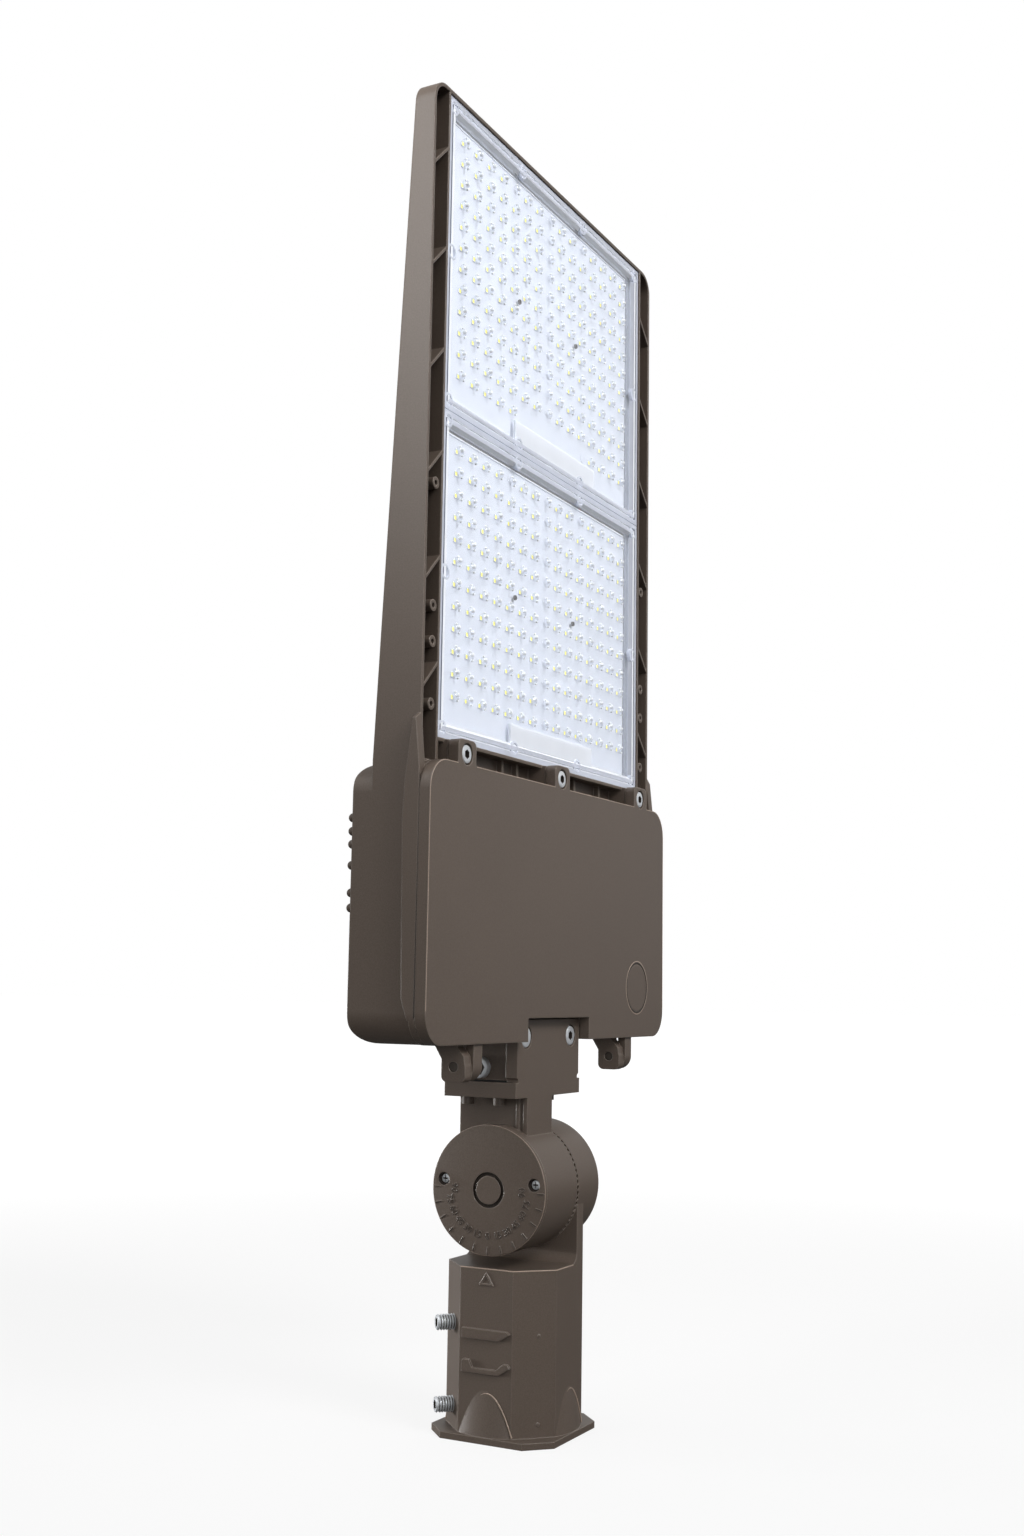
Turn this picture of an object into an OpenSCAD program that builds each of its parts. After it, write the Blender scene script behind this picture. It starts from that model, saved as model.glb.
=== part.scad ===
// Shoebox area light on a slip fitter.
// A flat lamp head stands on a knuckle that clamps to a pole tenon.
// Millimetres, +Z up, X across the head, lenses look toward -Y.
// The origin is the middle of the fitter's mouth, on the tenon's axis.

/* [Slip fitter] */
// Bore for the pole tenon
bore_d = 62; // [56:1:66]
// Depth that the tenon goes in
bore_depth = 94; // [80:1:94]
// Octagon body, across its flats
fitter_flats = 77; // [76:1:84]
// Length of each flat that faces along X or Y
fitter_side = 37; // [33:1:40]
// Height of the fitter's body
fitter_h = 103; // [100:1:106]
// Thread size of the tenon set bolts
set_bolt_d = 10; // [8:1:12]
// Heights of the two set bolts
set_bolt_low = 17.5; // [14:0.5:24]
set_bolt_high = 67; // [50:0.5:76]

/* [Knuckle] */
// Height of the tilt axis
pivot_h = 150.5; // [149:0.5:170]
// Diameter of the two knuckle halves
knuckle_d = 80; // [76:1:84]
// Width of the knuckle over both halves
knuckle_w = 76.6; // [72:0.2:84]
// Where the serrated faces meet, from the middle
joint_x = 7.5; // [5:0.5:9]
// Number of teeth round a serrated face
teeth = 72; // [36:4:72]
// Depth of a tooth
tooth_h = 1.6; // [1:0.1:2]
// Diameter of the pivot bolt
pivot_bolt_d = 10; // [8:1:12]

/* [Bracket arm] */
// Height of the ledge's top face
ledge_z = 217; // [214:0.5:230]
// Thickness of the ledge
ledge_t = 9.5; // [8:0.5:12]
// Half width of the ledge and the tongue
ledge_half = 45; // [42:1:50]
// Front face of the tongue
tongue_y = -22; // [-22:0.5:-21]
// Back face of the ledge
ledge_back = 29; // [26:1:34]

/* [Lamp head] */
// Width of the head
head_w = 326; // [300:1:400]
// Height of one lens module, edge to edge with its neighbour
module_h = 200; // [180:1:240]
// Width of each side rail
rail_w = 19.5; // [18:0.5:24]
// Lamps across a module
lamp_cols = 15; // [15:2:15]
// Lamps down a module
lamp_rows = 12; // [12:1:12]
// Front face of the rails
rail_y = -19; // [-20:0.5:-18]
// Thickness of the head at its far end
tip_t = 13; // [12:0.5:16]
// Thickness of the head where it meets the driver box
root_t = 32; // [28:0.5:38]
// Corner radius at the far end
tip_r = 14; // [10:1:20]

/* [Driver box] */
// Height of the driver box
box_h = 163; // [150:1:200]
// Bottom of the driver box
box_z = 242.5; // [240:0.5:260]
// Back face of the driver box
box_back = 26; // [26:0.5:40]
// Wall of the housing casting
wall = 3.5; // [3:0.1:4]
// Corner radius of the box and its door
box_r = 18; // [14:1:22]
// How far the door and its rim stand out past the head's sides
rim_out = 5.5; // [5:0.5:7]

/* [Door] */
// Parting plane between housing and door
seam_y = -22; // [-22:0.5:-21.5]
// Depth of the door
door_t = 7.2; // [6.8:0.1:8]
// Height of the door's hinge axis
hinge_z = 229.5; // [229:0.5:230]
// Depth of the door's hinge axis
hinge_y = -19; // [-19.5:0.5:-18.5]
// Distance of the outer tabs from the middle
tab_x = 126.5; // [110:0.5:136]

/* [Hidden] */
$fn = 64;
gap = 0.05;
seam_gap = 0.4;
fine = 0.3;

bore_r = bore_d / 2;
fitter_half = fitter_flats / 2;
fitter_corner = fitter_side / 2;
flange_t = 4;
flange_half = fitter_half + 4.6;
flange_corner = fitter_corner + 10;
flare_h = 34;
riser_x = joint_x + 2.5;
riser_fillet = 7;
grip_out = 1.8;
grip_z = [40.6, 60.8];
pointer_z = fitter_h - 10;
pip_z = [12, 64];
pip_r = 1.1;
mark_t = 0.6;
set_bolt_out = 13;
set_bolt_key = 2.9;
riser_way_y = 12;
knuckle_r = knuckle_d / 2;
knuckle_half = knuckle_w / 2;
knuckle_wall = 6;
knuckle_bore = knuckle_r - knuckle_wall;
cap_t = 3.3;
cap_screw_y = 32;
cap_screw_z = pivot_h + 5;
cap_recess = 2.2;
cap_lip = 2;
cap_lip_r = knuckle_bore - 4;
cap_pillar_r = 4.5;
cap_screw_r = 1.8;
cap_head_r = 3.1;
dial_ring = [11, 13];
dial_ring_t = 1;
tick_step = 15;
tick_size = [0.4, 0.8, 4.5];
serration_in = knuckle_bore - 1.5;
web_t = 10;
hub_r = 13;
pivot_r = pivot_bolt_d / 2;
pivot_seat_r = 10.5;
pivot_seat = 9.5;
washer_r = 11;
washer_t = 2;
pivot_head = [8, 6.4];
pivot_key = [4.6, 4.5];
nut_size = [9.4, 8];
lead_hole_r = 6.5;
lead_hole_at = 21;

neck_x = [-29, joint_x - 2.5];
neck_back = 27;
neck_relief = 1.2;
gusset_half = 6;
gusset_reach = 18;
ledge_bottom = ledge_z - ledge_t;
tongue_t = 8.3;
tongue_top = box_z + 13.5;
tongue_bolt_x = 31.5;
tongue_bolt_z = box_z + 2.5;
under_bolt_x = 34;
under_bolt_y = [-4.5, 18];
under_bolt_r = 3;
tongue_bolt_r = 4;
side_bolt_r = 4;
side_bolt_y = 5;
side_bolt_z = hinge_z - 3.5;
gasket_t = 1.2;
boss_bottom = ledge_z + gasket_t + gap;
boss_half = 41;
lead_x = -14;
lead_way_r = 9;

head_half = head_w / 2;
rim_half = head_half + rim_out;
box_top = box_z + box_h;
lens_low = box_top + 15;
module_gap = 0.5;
lens_top = lens_low + 2 * module_h - module_gap;
head_top = lens_top + 2.7;
lens_half = head_half - rail_w;
lens_front = rail_y + 1;
board_y = -13;
board_t = 1.6;
floor_y = board_y + board_t;
floor_t = 3.5;
tip_back = rail_y + tip_t;
root_back = rail_y + root_t;
pitch_x = (2 * lens_half - 48.4) / (lamp_cols - 1);
pitch_z = (module_h - 47.9) / (lamp_rows - 1);
row_top = 20;
screw_edge = lens_half - 6.5;
screw_mid = screw_edge / 3 + 0.3;
screw_cols = [-screw_edge, -screw_mid, screw_mid, screw_edge];
screw_rows = [5.8, module_h - 6.2];
screw_boss_r = 5;
screw_sink = 2.4;
lens_screw_r = 1.5;
lens_head = [2.8, 2];
lens_sink_r = 3.6;
lens_rim_w = 11.5;
lens_rim_h = 9;
field_sink = 2.4;
field_t = 1.6;
post_r = 3.4;
groove_in = [4.2, 7.6];
groove_w = 1.2;
groove_t = 0.8;
cover_x = [-50, 70];
cover_z = [12, 20];
cover_t = 1.4;
link_hole_r = 3.2;
led_size = [3, 0.7, 3];

rail_wall = 2.2;
skin_t = 2.5;
web_pitch = 64;
web_first = 48;
web_gap = 1.6;
pocket_boss_z = [for (rise = [150.5, 76.5, 55, 18]) lens_low + rise];
pocket_boss_x = lens_half + 7.5;
pocket_screw_r = 1.6;
pocket_boss_r = 3.6;
fin_t = 1.8;
fin_pitch = 12;
stud_rise = [77.6, 86.3, 102.3, 114.6, 122.2, 130.1];
stud_r = 2.7;
stud_t = 1.6;

cavity_half = head_half - wall;
cavity_low = box_z + 8.5;
cavity_top = box_top - 8.5;
cavity_back = box_back - wall;
notch_half = 44;
notch_top = box_z + 14.5;
island_half = notch_half + 8.5;
island_top = notch_top + 8.5;
slot_half = 115;
slot_bottom = box_top - 3;
slot_top = lens_low - 2.5;
slot_floor = -9;
slot_rib_x = [32, 52, 92];
slot_rib_y = -13;
rim_depth = 4;
tunnel_r = 4.5;
grommet_r = 6;

door_front = seam_y - seam_gap - door_t;
door_wall = 3;
seal_w = 4.8;
tab_r = 4;
tab_seat_y = -10;
tab_hole_r = 3.4;
retainer_r = 5;
retainer_t = 1.2;
tab_w = 21;
tab_top = box_top + 14.5;
tab_screw_z = box_top + 6;
tab_cols = [-tab_x, 0, tab_x];
door_screw_r = 2.5;
door_head_r = 6;
door_head_t = 4.5;
lug_r = 8;
lug_drop = 9;
ring_r = 9;
pin_r = 3;
hinge_left = 8.5 - tab_x;
hinge_right = tab_x - 28.5;
knockout_x = tab_x - 4.5;
knockout_z = box_z + 34.5;
knockout_r = 17.5;
knockout_w = 1.1;
knockout_t = 0.6;
pin_head = [6, 3];
pin_crown = [4, 1.5];
lug_len = 8;
ring_len = 10;

driver_size = [210, 34, 68];
driver_at = [-22, cavity_back - gap - driver_size[1] / 2, box_z + 75.5];
surge_size = [46, 26, 62];
surge_at = [cavity_half - 33.5, cavity_back - gap - surge_size[1] / 2, driver_at[2]];
block_size = [46, 16, 22];
block_at = [-88, cavity_back - gap - block_size[1] / 2, box_z + 22.5];
foot_t = 3;
lead_r = 1.6;
lead_bend = 3;
lead_facets = 8;
out_x = screw_mid + 14;
out_y = 1;
out_z = lens_low + 16;
out_r = 1;
out_pitch = 2.4;
link_rise = 12;
link_y = floor_y + 1.1;
touch = 0.05;
earth_seat = 1.2;
earth_head_r = 4.4;
field_half = lens_half - lens_rim_w;
field_front = lens_front + field_sink;

// ---- shared shapes ----

// Extrudes a flat shape drawn as (x, z) from y0 to y1.
module along_y(y0, y1) {
    translate([0, y1, 0])
        rotate([90, 0, 0])
            linear_extrude(y1 - y0) children();
}

// Extrudes a flat shape drawn as (y, z) from x0 to x1.
module along_x(x0, x1) {
    translate([x0, 0, 0])
        rotate([90, 0, 90])
            linear_extrude(x1 - x0) children();
}

module round_box(x0, x1, z0, z1, r) {
    translate([x0 + r, z0]) square([x1 - x0 - 2 * r, z1 - z0]);
    translate([x0, z0 + r]) square([x1 - x0, z1 - z0 - 2 * r]);
    for (x = [x0 + r, x1 - r], z = [z0 + r, z1 - r])
        translate([x, z]) circle(r);
}

module block(x0, x1, y0, y1, z0, z1) {
    translate([x0, y0, z0]) cube([x1 - x0, y1 - y0, z1 - z0]);
}

module rod_x(x0, x1, y, z, r) {
    translate([x0, y, z]) rotate([0, 90, 0]) cylinder(h = x1 - x0, r = r);
}

module rod_y(x, y0, y1, z, r) {
    translate([x, y1, z]) rotate([90, 0, 0]) cylinder(h = y1 - y0, r = r);
}

module octagon(half, corner) {
    polygon([
        [half, corner], [corner, half], [-corner, half], [-half, corner],
        [-half, -corner], [-corner, -half], [corner, -half], [half, -corner]
    ]);
}

// A socket-head screw: its head's face at the origin, its shank down -Z.
module socket_screw(r, len, head_r, head_t, key) {
    difference() {
        translate([0, 0, -head_t]) cylinder(h = head_t, r = head_r);
        translate([0, 0, -head_t * 0.6]) cylinder(h = head_t, r = key / 2, $fn = 6);
    }
    translate([0, 0, -head_t - len]) cylinder(h = len + 0.1, r = r);
}

function unit(v) = v / norm(v);

// Rounds every inner corner of a route over the given reach.
function rounded(route, reach) = concat(
    [route[0]],
    [for (i = [1 : len(route) - 2], t = [0 : 0.25 : 1])
        let (
            before = route[i] + unit(route[i - 1] - route[i]) * reach,
            after = route[i] + unit(route[i + 1] - route[i]) * reach
        )
        (1 - t) * (1 - t) * before + 2 * t * (1 - t) * route[i] + t * t * after],
    [route[len(route) - 1]]);

function heading(path, i) =
    unit(path[min(i + 1, len(path) - 1)] - path[max(i - 1, 0)]);

// Side direction of every ring, carried on from the ring before without twist.
function ring_sides(path, i, side) = i == len(path) ? [] :
    let (
        ahead = heading(path, i),
        next = unit(side - (side * ahead) * ahead)
    )
    concat([next], ring_sides(path, i + 1, next));

// A lead swept along its route as one tube.
module lead(route, r = lead_r, bend = lead_bend) {
    path = rounded(route, bend);
    sides = ring_sides(path, 0, [0.36, 0.48, 0.8]);
    rings = [for (i = [0 : len(path) - 1], k = [0 : lead_facets - 1])
        let (
            angle = k * 360 / lead_facets,
            across = cross(heading(path, i), sides[i])
        )
        path[i] + r * (cos(angle) * sides[i] + sin(angle) * across)];
    last = (len(path) - 1) * lead_facets;
    polyhedron(
        points = rings,
        faces = concat(
            [[for (k = [0 : lead_facets - 1]) k]],
            [for (i = [0 : len(path) - 2], k = [0 : lead_facets - 1])
                let (
                    here = i * lead_facets,
                    k2 = (k + 1) % lead_facets
                )
                [here + k, here + lead_facets + k, here + lead_facets + k2, here + k2]],
            [[for (k = [lead_facets - 1 : -1 : 0]) last + k]]));
}

// ---- fitter ----

module serration_cuts(face_x, side) {
    tooth_w = 2 * PI * knuckle_r / teeth;
    for (i = [0 : teeth - 1])
        translate([face_x, 0, pivot_h])
            rotate([i * 360 / teeth, 0, 0])
                translate([0, 0, knuckle_r - knuckle_wall - 2])
                    linear_extrude(knuckle_wall + 4)
                        polygon([
                            [side * 0.5, -tooth_w * 0.62], [side * 0.5, tooth_w * 0.62],
                            [-side * tooth_h, 0]
                        ]);
}

module lead_holes(x0, x1) {
    for (a = [90, 210, 330])
        rod_x(x0, x1, lead_hole_at * cos(a), pivot_h + lead_hole_at * sin(a), lead_hole_r);
}

// Places children on the chamfer's normal, looking out from the tenon axis.
module set_bolt_place(z) {
    translate([0, 0, z]) rotate([0, 0, 135]) rotate([0, 90, 0]) children();
}

// Slopes at the foot of the four wide flats.
module foot_flares() {
    intersection() {
        cylinder(h = flare_h, r1 = flange_half, r2 = fitter_half - 0.5);
        union() {
            block(-flange_half, flange_half, -fitter_corner, fitter_corner, 0, flare_h);
            block(-fitter_corner, fitter_corner, -flange_half, flange_half, 0, flare_h);
        }
    }
}

// Riser between the roof and the far knuckle half, with a fillet at its root.
module riser() {
    fillet_x = riser_x - riser_fillet;
    fillet_top = fitter_h + riser_fillet;
    intersection() {
        linear_extrude(pivot_h) octagon(fitter_half, fitter_corner);
        union() {
            block(riser_x, knuckle_half, -knuckle_r, knuckle_r, fitter_h - 1, pivot_h);
            difference() {
                block(fillet_x, riser_x + 1, -knuckle_r, knuckle_r, fitter_h - 1, fillet_top);
                rod_y(fillet_x, -knuckle_r - 1, knuckle_r + 1, fillet_top, riser_fillet + gap);
            }
        }
    }
}

// Raised grips under the dial: a bar, and a tray with turned-up ends.
module grips() {
    along_x(-fitter_half - grip_out, 1 - fitter_half) {
        translate([0, grip_z[1]])
            polygon([[16, 0], [16, 6], [-15, 6], [-17.5, 4.5], [-10, 0]]);
        translate([0, grip_z[0]])
            polygon([
                [16, 0], [16, 6.5], [15, 7.5], [11, 7.5], [8.5, 2.8], [-8, 2.8], [-13, 7],
                [-16, 7], [-17.5, 5], [-10, 0]
            ]);
    }
}

// Raised outline of a pointer for the scale, and two cast pips on the chamfer beside it.
module fitter_marks() {
    along_x(-fitter_half - mark_t, 1 - fitter_half)
        translate([0, pointer_z]) difference() {
            polygon([[-5.2, 0], [5.2, 0], [0, 8]]);
            polygon([[-3.2, 1.1], [3.2, 1.1], [0, 5.9]]);
        }
    for (z = pip_z)
        rotate([0, 0, 45]) translate([-(fitter_half + fitter_corner) / sqrt(2) - 0.4, -3, z])
            rotate([0, 90, 0]) cylinder(h = 1.4, r = pip_r);
}

module socket_casting() {
    far_face = joint_x + fine / 2;
    color([0.30, 0.27, 0.25]) difference() {
        union() {
            linear_extrude(flange_t) octagon(flange_half, flange_corner);
            linear_extrude(fitter_h) octagon(fitter_half, fitter_corner);
            foot_flares();
            riser();
            rod_x(far_face, knuckle_half, 0, pivot_h, knuckle_r);
            grips();
            fitter_marks();
        }
        translate([0, 0, -1]) cylinder(h = bore_depth + 1, r = bore_r);
        // lead way from the bore up through the riser
        block(riser_x + 6, bore_r - 2, -riser_way_y, riser_way_y, bore_depth - 1,
            pivot_h - 20);
        // hollow of the far half, with a hub left round the bolt
        difference() {
            rod_x(far_face + web_t, knuckle_half - wall, 0, pivot_h, knuckle_bore);
            rod_x(far_face, knuckle_half, 0, pivot_h, hub_r);
        }
        lead_holes(far_face - 1, far_face + web_t + 1);
        rod_x(far_face - 1, knuckle_half + 1, 0, pivot_h, pivot_r + gap);
        rod_x(knuckle_half - pivot_seat, knuckle_half + 1, 0, pivot_h, pivot_seat_r);
        // relief inside the toothed ring
        rod_x(far_face - 1, far_face + tooth_h, 0, pivot_h, serration_in);
        serration_cuts(far_face, -1);
        for (z = [set_bolt_low, set_bolt_high])
            set_bolt_place(z) translate([0, 0, bore_r - 3]) cylinder(h = 24, r = set_bolt_d / 2);
    }
}

module set_bolt(z) {
    tip = bore_r + 0.6;
    out = fitter_half + set_bolt_out;
    color([0.76, 0.77, 0.78]) set_bolt_place(z) difference() {
        union() {
            translate([0, 0, tip + 1]) cylinder(h = out - tip - 2, r = set_bolt_d / 2 - gap);
            translate([0, 0, tip]) cylinder(h = out - tip, r = set_bolt_d / 2 - 1);
        }
        translate([0, 0, out - 5]) cylinder(h = 6, r = set_bolt_key, $fn = 6);
    }
}

module set_bolt_upper() {
    set_bolt(set_bolt_high);
}

module set_bolt_lower() {
    set_bolt(set_bolt_low);
}

module pivot_bolt() {
    head_x = joint_x - fine / 2 - web_t - washer_t - gap * 4;
    color([0.72, 0.73, 0.74]) difference() {
        union() {
            rod_x(head_x - pivot_head[1], head_x, 0, pivot_h, pivot_head[0]);
            rod_x(head_x - 0.1, knuckle_half - 1.2, 0, pivot_h, pivot_r);
        }
        translate([head_x - pivot_head[1] - 1, 0, pivot_h]) rotate([0, 90, 0])
            cylinder(h = pivot_key[1] + 0.5, r = pivot_key[0], $fn = 6);
    }
}

module pivot_nut() {
    color([0.72, 0.73, 0.74]) difference() {
        translate([knuckle_half - pivot_seat + gap, 0, pivot_h])
            rotate([0, 90, 0]) cylinder(h = nut_size[1], r = nut_size[0], $fn = 6);
        rod_x(knuckle_half - 11, knuckle_half + 1, 0, pivot_h, pivot_r + gap);
    }
}

// ---- bracket arm ----

module pivot_washer() {
    seat = joint_x - fine / 2 - web_t;
    color([0.72, 0.73, 0.74]) difference() {
        rod_x(seat - washer_t - gap, seat - gap, 0, pivot_h, washer_r);
        rod_x(seat - 5, seat + 1, 0, pivot_h, pivot_r + 0.3);
    }
}

module tongue_outline() {
    difference() {
        translate([-ledge_half + 1.5, ledge_bottom])
            square([2 * ledge_half - 3, tongue_top - ledge_bottom]);
        // small relief nicks where the tongue leaves the ledge
        for (side = [-1, 1])
            translate([side * (ledge_half - 1.5), ledge_z + 1]) circle(2);
    }
}

module arm_casting() {
    near_face = joint_x - fine / 2;
    cap_x = -knuckle_half + cap_t;
    color([0.30, 0.27, 0.25]) difference() {
        union() {
            rod_x(cap_x, near_face, 0, pivot_h, knuckle_r);
            block(neck_x[0], neck_x[1], tongue_y, neck_back, pivot_h, ledge_bottom + 1);
            block(-ledge_half, ledge_half, tongue_y, ledge_back, ledge_bottom, ledge_z);
            along_y(tongue_y, tongue_y + tongue_t) tongue_outline();
            // corner gusset under the ledge's free side
            along_y(-gusset_half, gusset_half) polygon([
                [neck_x[1] - 1, ledge_bottom + 1],
                [neck_x[1] + gusset_reach, ledge_bottom + 1],
                [neck_x[1] - 1, ledge_bottom - gusset_reach]
            ]);
        }
        // hollow of the near half, open toward the cap
        difference() {
            rod_x(cap_x - 3, near_face - web_t, 0, pivot_h, knuckle_bore);
            for (y = [-cap_screw_y, cap_screw_y])
                rod_x(cap_x - 3, near_face, y, cap_screw_z, cap_pillar_r);
        }
        lead_holes(near_face - web_t - 1, near_face + 1);
        rod_x(near_face - web_t - 1, near_face + 1, 0, pivot_h, pivot_r + gap);
        rod_x(near_face - tooth_h, near_face + 1, 0, pivot_h, serration_in);
        serration_cuts(near_face, 1);
        for (y = [-cap_screw_y, cap_screw_y])
            rod_x(cap_x - 3, cap_x + 10, y, cap_screw_z, cap_screw_r + 0.1);
        // panel and groove in the neck's near side, above the knuckle's crown
        for (strip = [[tongue_y + 3.2, tongue_y + 5.8], [tongue_y + 8.2, neck_back + 1]])
            difference() {
                block(neck_x[0] - 1, neck_x[0] + neck_relief, strip[0], strip[1], pivot_h,
                    ledge_bottom - 0.5);
                rod_x(neck_x[0] - 2, neck_x[0] + 2, 0, pivot_h, knuckle_r);
            }
        // lead way up the neck
        translate([lead_x, 0, pivot_h + 20]) cylinder(h = 60, r = lead_way_r);
        // bolt holes
        for (x = [-tongue_bolt_x, tongue_bolt_x]) {
            rod_y(x, tongue_y - 1, tongue_y + 20, tongue_bolt_z, tongue_bolt_r + gap);
            rod_y(x, tongue_y - 1, tongue_y + 5, tongue_bolt_z, 7.2);
        }
        for (x = [-under_bolt_x, under_bolt_x], y = under_bolt_y)
            translate([x, y, ledge_bottom - 1]) cylinder(h = ledge_t + 2, r = under_bolt_r + gap);
    }
}

module dial_cap() {
    x0 = -knuckle_half;
    color([0.33, 0.30, 0.28]) difference() {
        union() {
            rod_x(x0, x0 + cap_t - gap, 0, pivot_h, knuckle_r);
            rod_x(x0 + 1, x0 + cap_t + cap_lip, 0, pivot_h, cap_lip_r);
        }
        // relief so that the rim plugs the hollow
        rod_x(x0 + cap_t - gap, x0 + cap_t + 3, 0, pivot_h, cap_lip_r - 4);
        for (y = [-cap_screw_y, cap_screw_y])
            rod_x(x0 + cap_t - gap, x0 + cap_t + 3, y, cap_screw_z, 5.2);
        // groove round the middle
        difference() {
            rod_x(x0 - 1, x0 + dial_ring_t, 0, pivot_h, dial_ring[1]);
            rod_x(x0 - 2, x0 + dial_ring_t + 1, 0, pivot_h, dial_ring[0]);
        }
        for (y = [-cap_screw_y, cap_screw_y]) {
            rod_x(x0 - 1, x0 + cap_recess, y, cap_screw_z, cap_head_r + 0.7);
            rod_x(x0 - 1, x0 + cap_t + 3, y, cap_screw_z, cap_screw_r + 0.3);
        }
        // scale marks every fifteen degrees round the lower half
        for (a = [-90 : tick_step : 90])
            translate([x0, 0, pivot_h]) rotate([a, 0, 0])
                translate([-1, -tick_size[1] / 2, -knuckle_r + 1])
                    cube([tick_size[0] + 1, tick_size[1], tick_size[2]]);
    }
}

module dial_cap_screws() {
    color([0.75, 0.76, 0.77])
        for (y = [-cap_screw_y, cap_screw_y])
            translate([-knuckle_half + cap_recess - gap, y, cap_screw_z]) rotate([0, -90, 0])
                difference() {
                    union() {
                        cylinder(h = 1.5, r = cap_head_r);
                        translate([0, 0, -9]) cylinder(h = 9.1, r = cap_screw_r);
                    }
                    translate([-0.4, -2, 0.7]) cube([0.8, 4, 2]);
                    translate([-2, -0.4, 0.7]) cube([4, 0.8, 2]);
                }
}

module tongue_bolts() {
    color([0.76, 0.77, 0.78])
        for (x = [-tongue_bolt_x, tongue_bolt_x])
            translate([x, tongue_y + 0.3, tongue_bolt_z]) rotate([90, 0, 0])
                socket_screw(tongue_bolt_r, 20, 6.5, 4.7 - gap, 6);
}

module ledge_bolts() {
    color([0.35, 0.32, 0.30])
        for (x = [-under_bolt_x, under_bolt_x], y = under_bolt_y)
            translate([x, y, ledge_bottom - gap - 5]) rotate([180, 0, 0])
                socket_screw(under_bolt_r, 26, 3.9, 5, 4);
}

module arm_gasket() {
    color([0.10, 0.10, 0.10]) difference() {
        block(-boss_half + 2.5, boss_half - 2.5, tongue_y + 10, ledge_back - 6, ledge_z,
            ledge_z + gasket_t);
        translate([lead_x, 0, ledge_z - 1]) cylinder(h = 4, r = 11);
        for (x = [-under_bolt_x, under_bolt_x], y = under_bolt_y)
            translate([x, y, ledge_z - 1]) cylinder(h = 4, r = 3.3);
    }
}

module boss_side_bolt() {
    color([0.76, 0.77, 0.78])
        translate([-boss_half - gap - 5, side_bolt_y, side_bolt_z]) rotate([0, -90, 0])
            socket_screw(side_bolt_r, 12, 7, 5, 7);
}

// ---- housing ----

// Outline of the head's side, drawn as (y, z).
module head_side() {
    polygon([
        [rail_y, box_top - 25], [root_back, box_top - 25], [root_back, box_top],
        [tip_back, head_top], [rail_y, head_top]
    ]);
}

module box_side() {
    r = 12;
    translate([seam_y, box_z]) square([box_back - r - seam_y, box_h]);
    translate([seam_y, box_z + r]) square([box_back - seam_y, box_h - 2 * r]);
    for (z = [box_z + r, box_top - r])
        translate([box_back - r, z]) circle(r);
}

// Outline of the side fairing, drawn as (y, z).
module fairing_side(inset) {
    polygon([
        [seam_y, box_z + 14], [-14 - inset, box_z + 14], [-10 - inset, box_z + 26],
        [-8 - inset, box_top - 35], [-9.3 - inset, box_top - 12], [-10.6 - inset, box_top - 3],
        [-12.4 - inset, box_top + 7 - inset], [-13.8 - inset, box_top + 16 - inset],
        [-15.2 - inset, box_top + 24 - inset], [-17, box_top + 26 - inset],
        [rail_y, box_top + 26 - inset], [seam_y, box_top - 6]
    ]);
}

module fairing(side) {
    hull() {
        along_x(side > 0 ? head_half - 1 : -head_half, side > 0 ? head_half : 1 - head_half)
            fairing_side(0);
        along_x(side > 0 ? rim_half - 1 : -rim_half, side > 0 ? rim_half : 1 - rim_half)
            fairing_side(3.5);
    }
}

module pocket_outline() {
    bottom = box_top + fine;
    top = head_top - rail_wall;
    x0 = lens_half + 2;
    x1 = head_half - rail_wall;
    difference() {
        round_box(x0 - 20, x1, bottom - 20, top, tip_r - rail_wall);
        translate([x0 - 40, bottom - 40]) square([40, top]);
        translate([x0 - 40, bottom - 40]) square([80, 40]);
        for (i = [0 : 5]) {
            z = head_top - web_first - i * web_pitch;
            translate([x0 - 1, z + 8.5]) rotate(-45) square([30, web_gap]);
        }
    }
}

// Pockets of one rail, each as deep as the tapering head allows.
module rail_pockets() {
    for (i = [0 : 6]) {
        z_high = i == 0 ? head_top : head_top - web_first - (i - 1) * web_pitch + 14;
        z_low = head_top - web_first - i * web_pitch - 22;
        depth = tip_back + (root_back - tip_back) * (head_top - z_high) / (head_top - box_top);
        along_y(rail_y - 1, depth - skin_t)
            intersection() {
                pocket_outline();
                translate([lens_half, max(z_low, box_top)])
                    square([rail_w, z_high - max(z_low, box_top)]);
            }
    }
}

module pocket_bosses() {
    for (side = [-1, 1], z = pocket_boss_z) {
        rod_y(side * pocket_boss_x, rail_y + 0.5, tip_back + 4, z, pocket_boss_r);
        block(side * (lens_half + 4) - 4, side * (lens_half + 4) + 4, rail_y + 2, tip_back + 4,
            z - 0.8, z + 0.8);
    }
}

module box_cavity() {
    difference() {
        along_y(seam_y - 1, cavity_back)
            round_box(-cavity_half, cavity_half, cavity_low, cavity_top, 10);
        block(-island_half, island_half, seam_y - 2, cavity_back + 1, box_z, island_top);
    }
}

module fins() {
    count = floor((lens_half - 8) / fin_pitch);
    for (i = [-count : count])
        along_x(i * fin_pitch - fin_t / 2, i * fin_pitch + fin_t / 2)
            polygon([
                [floor_y + floor_t - 1, box_top], [root_back, box_top],
                [tip_back, head_top - 1], [floor_y + floor_t - 1, head_top - 1]
            ]);
}

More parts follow.
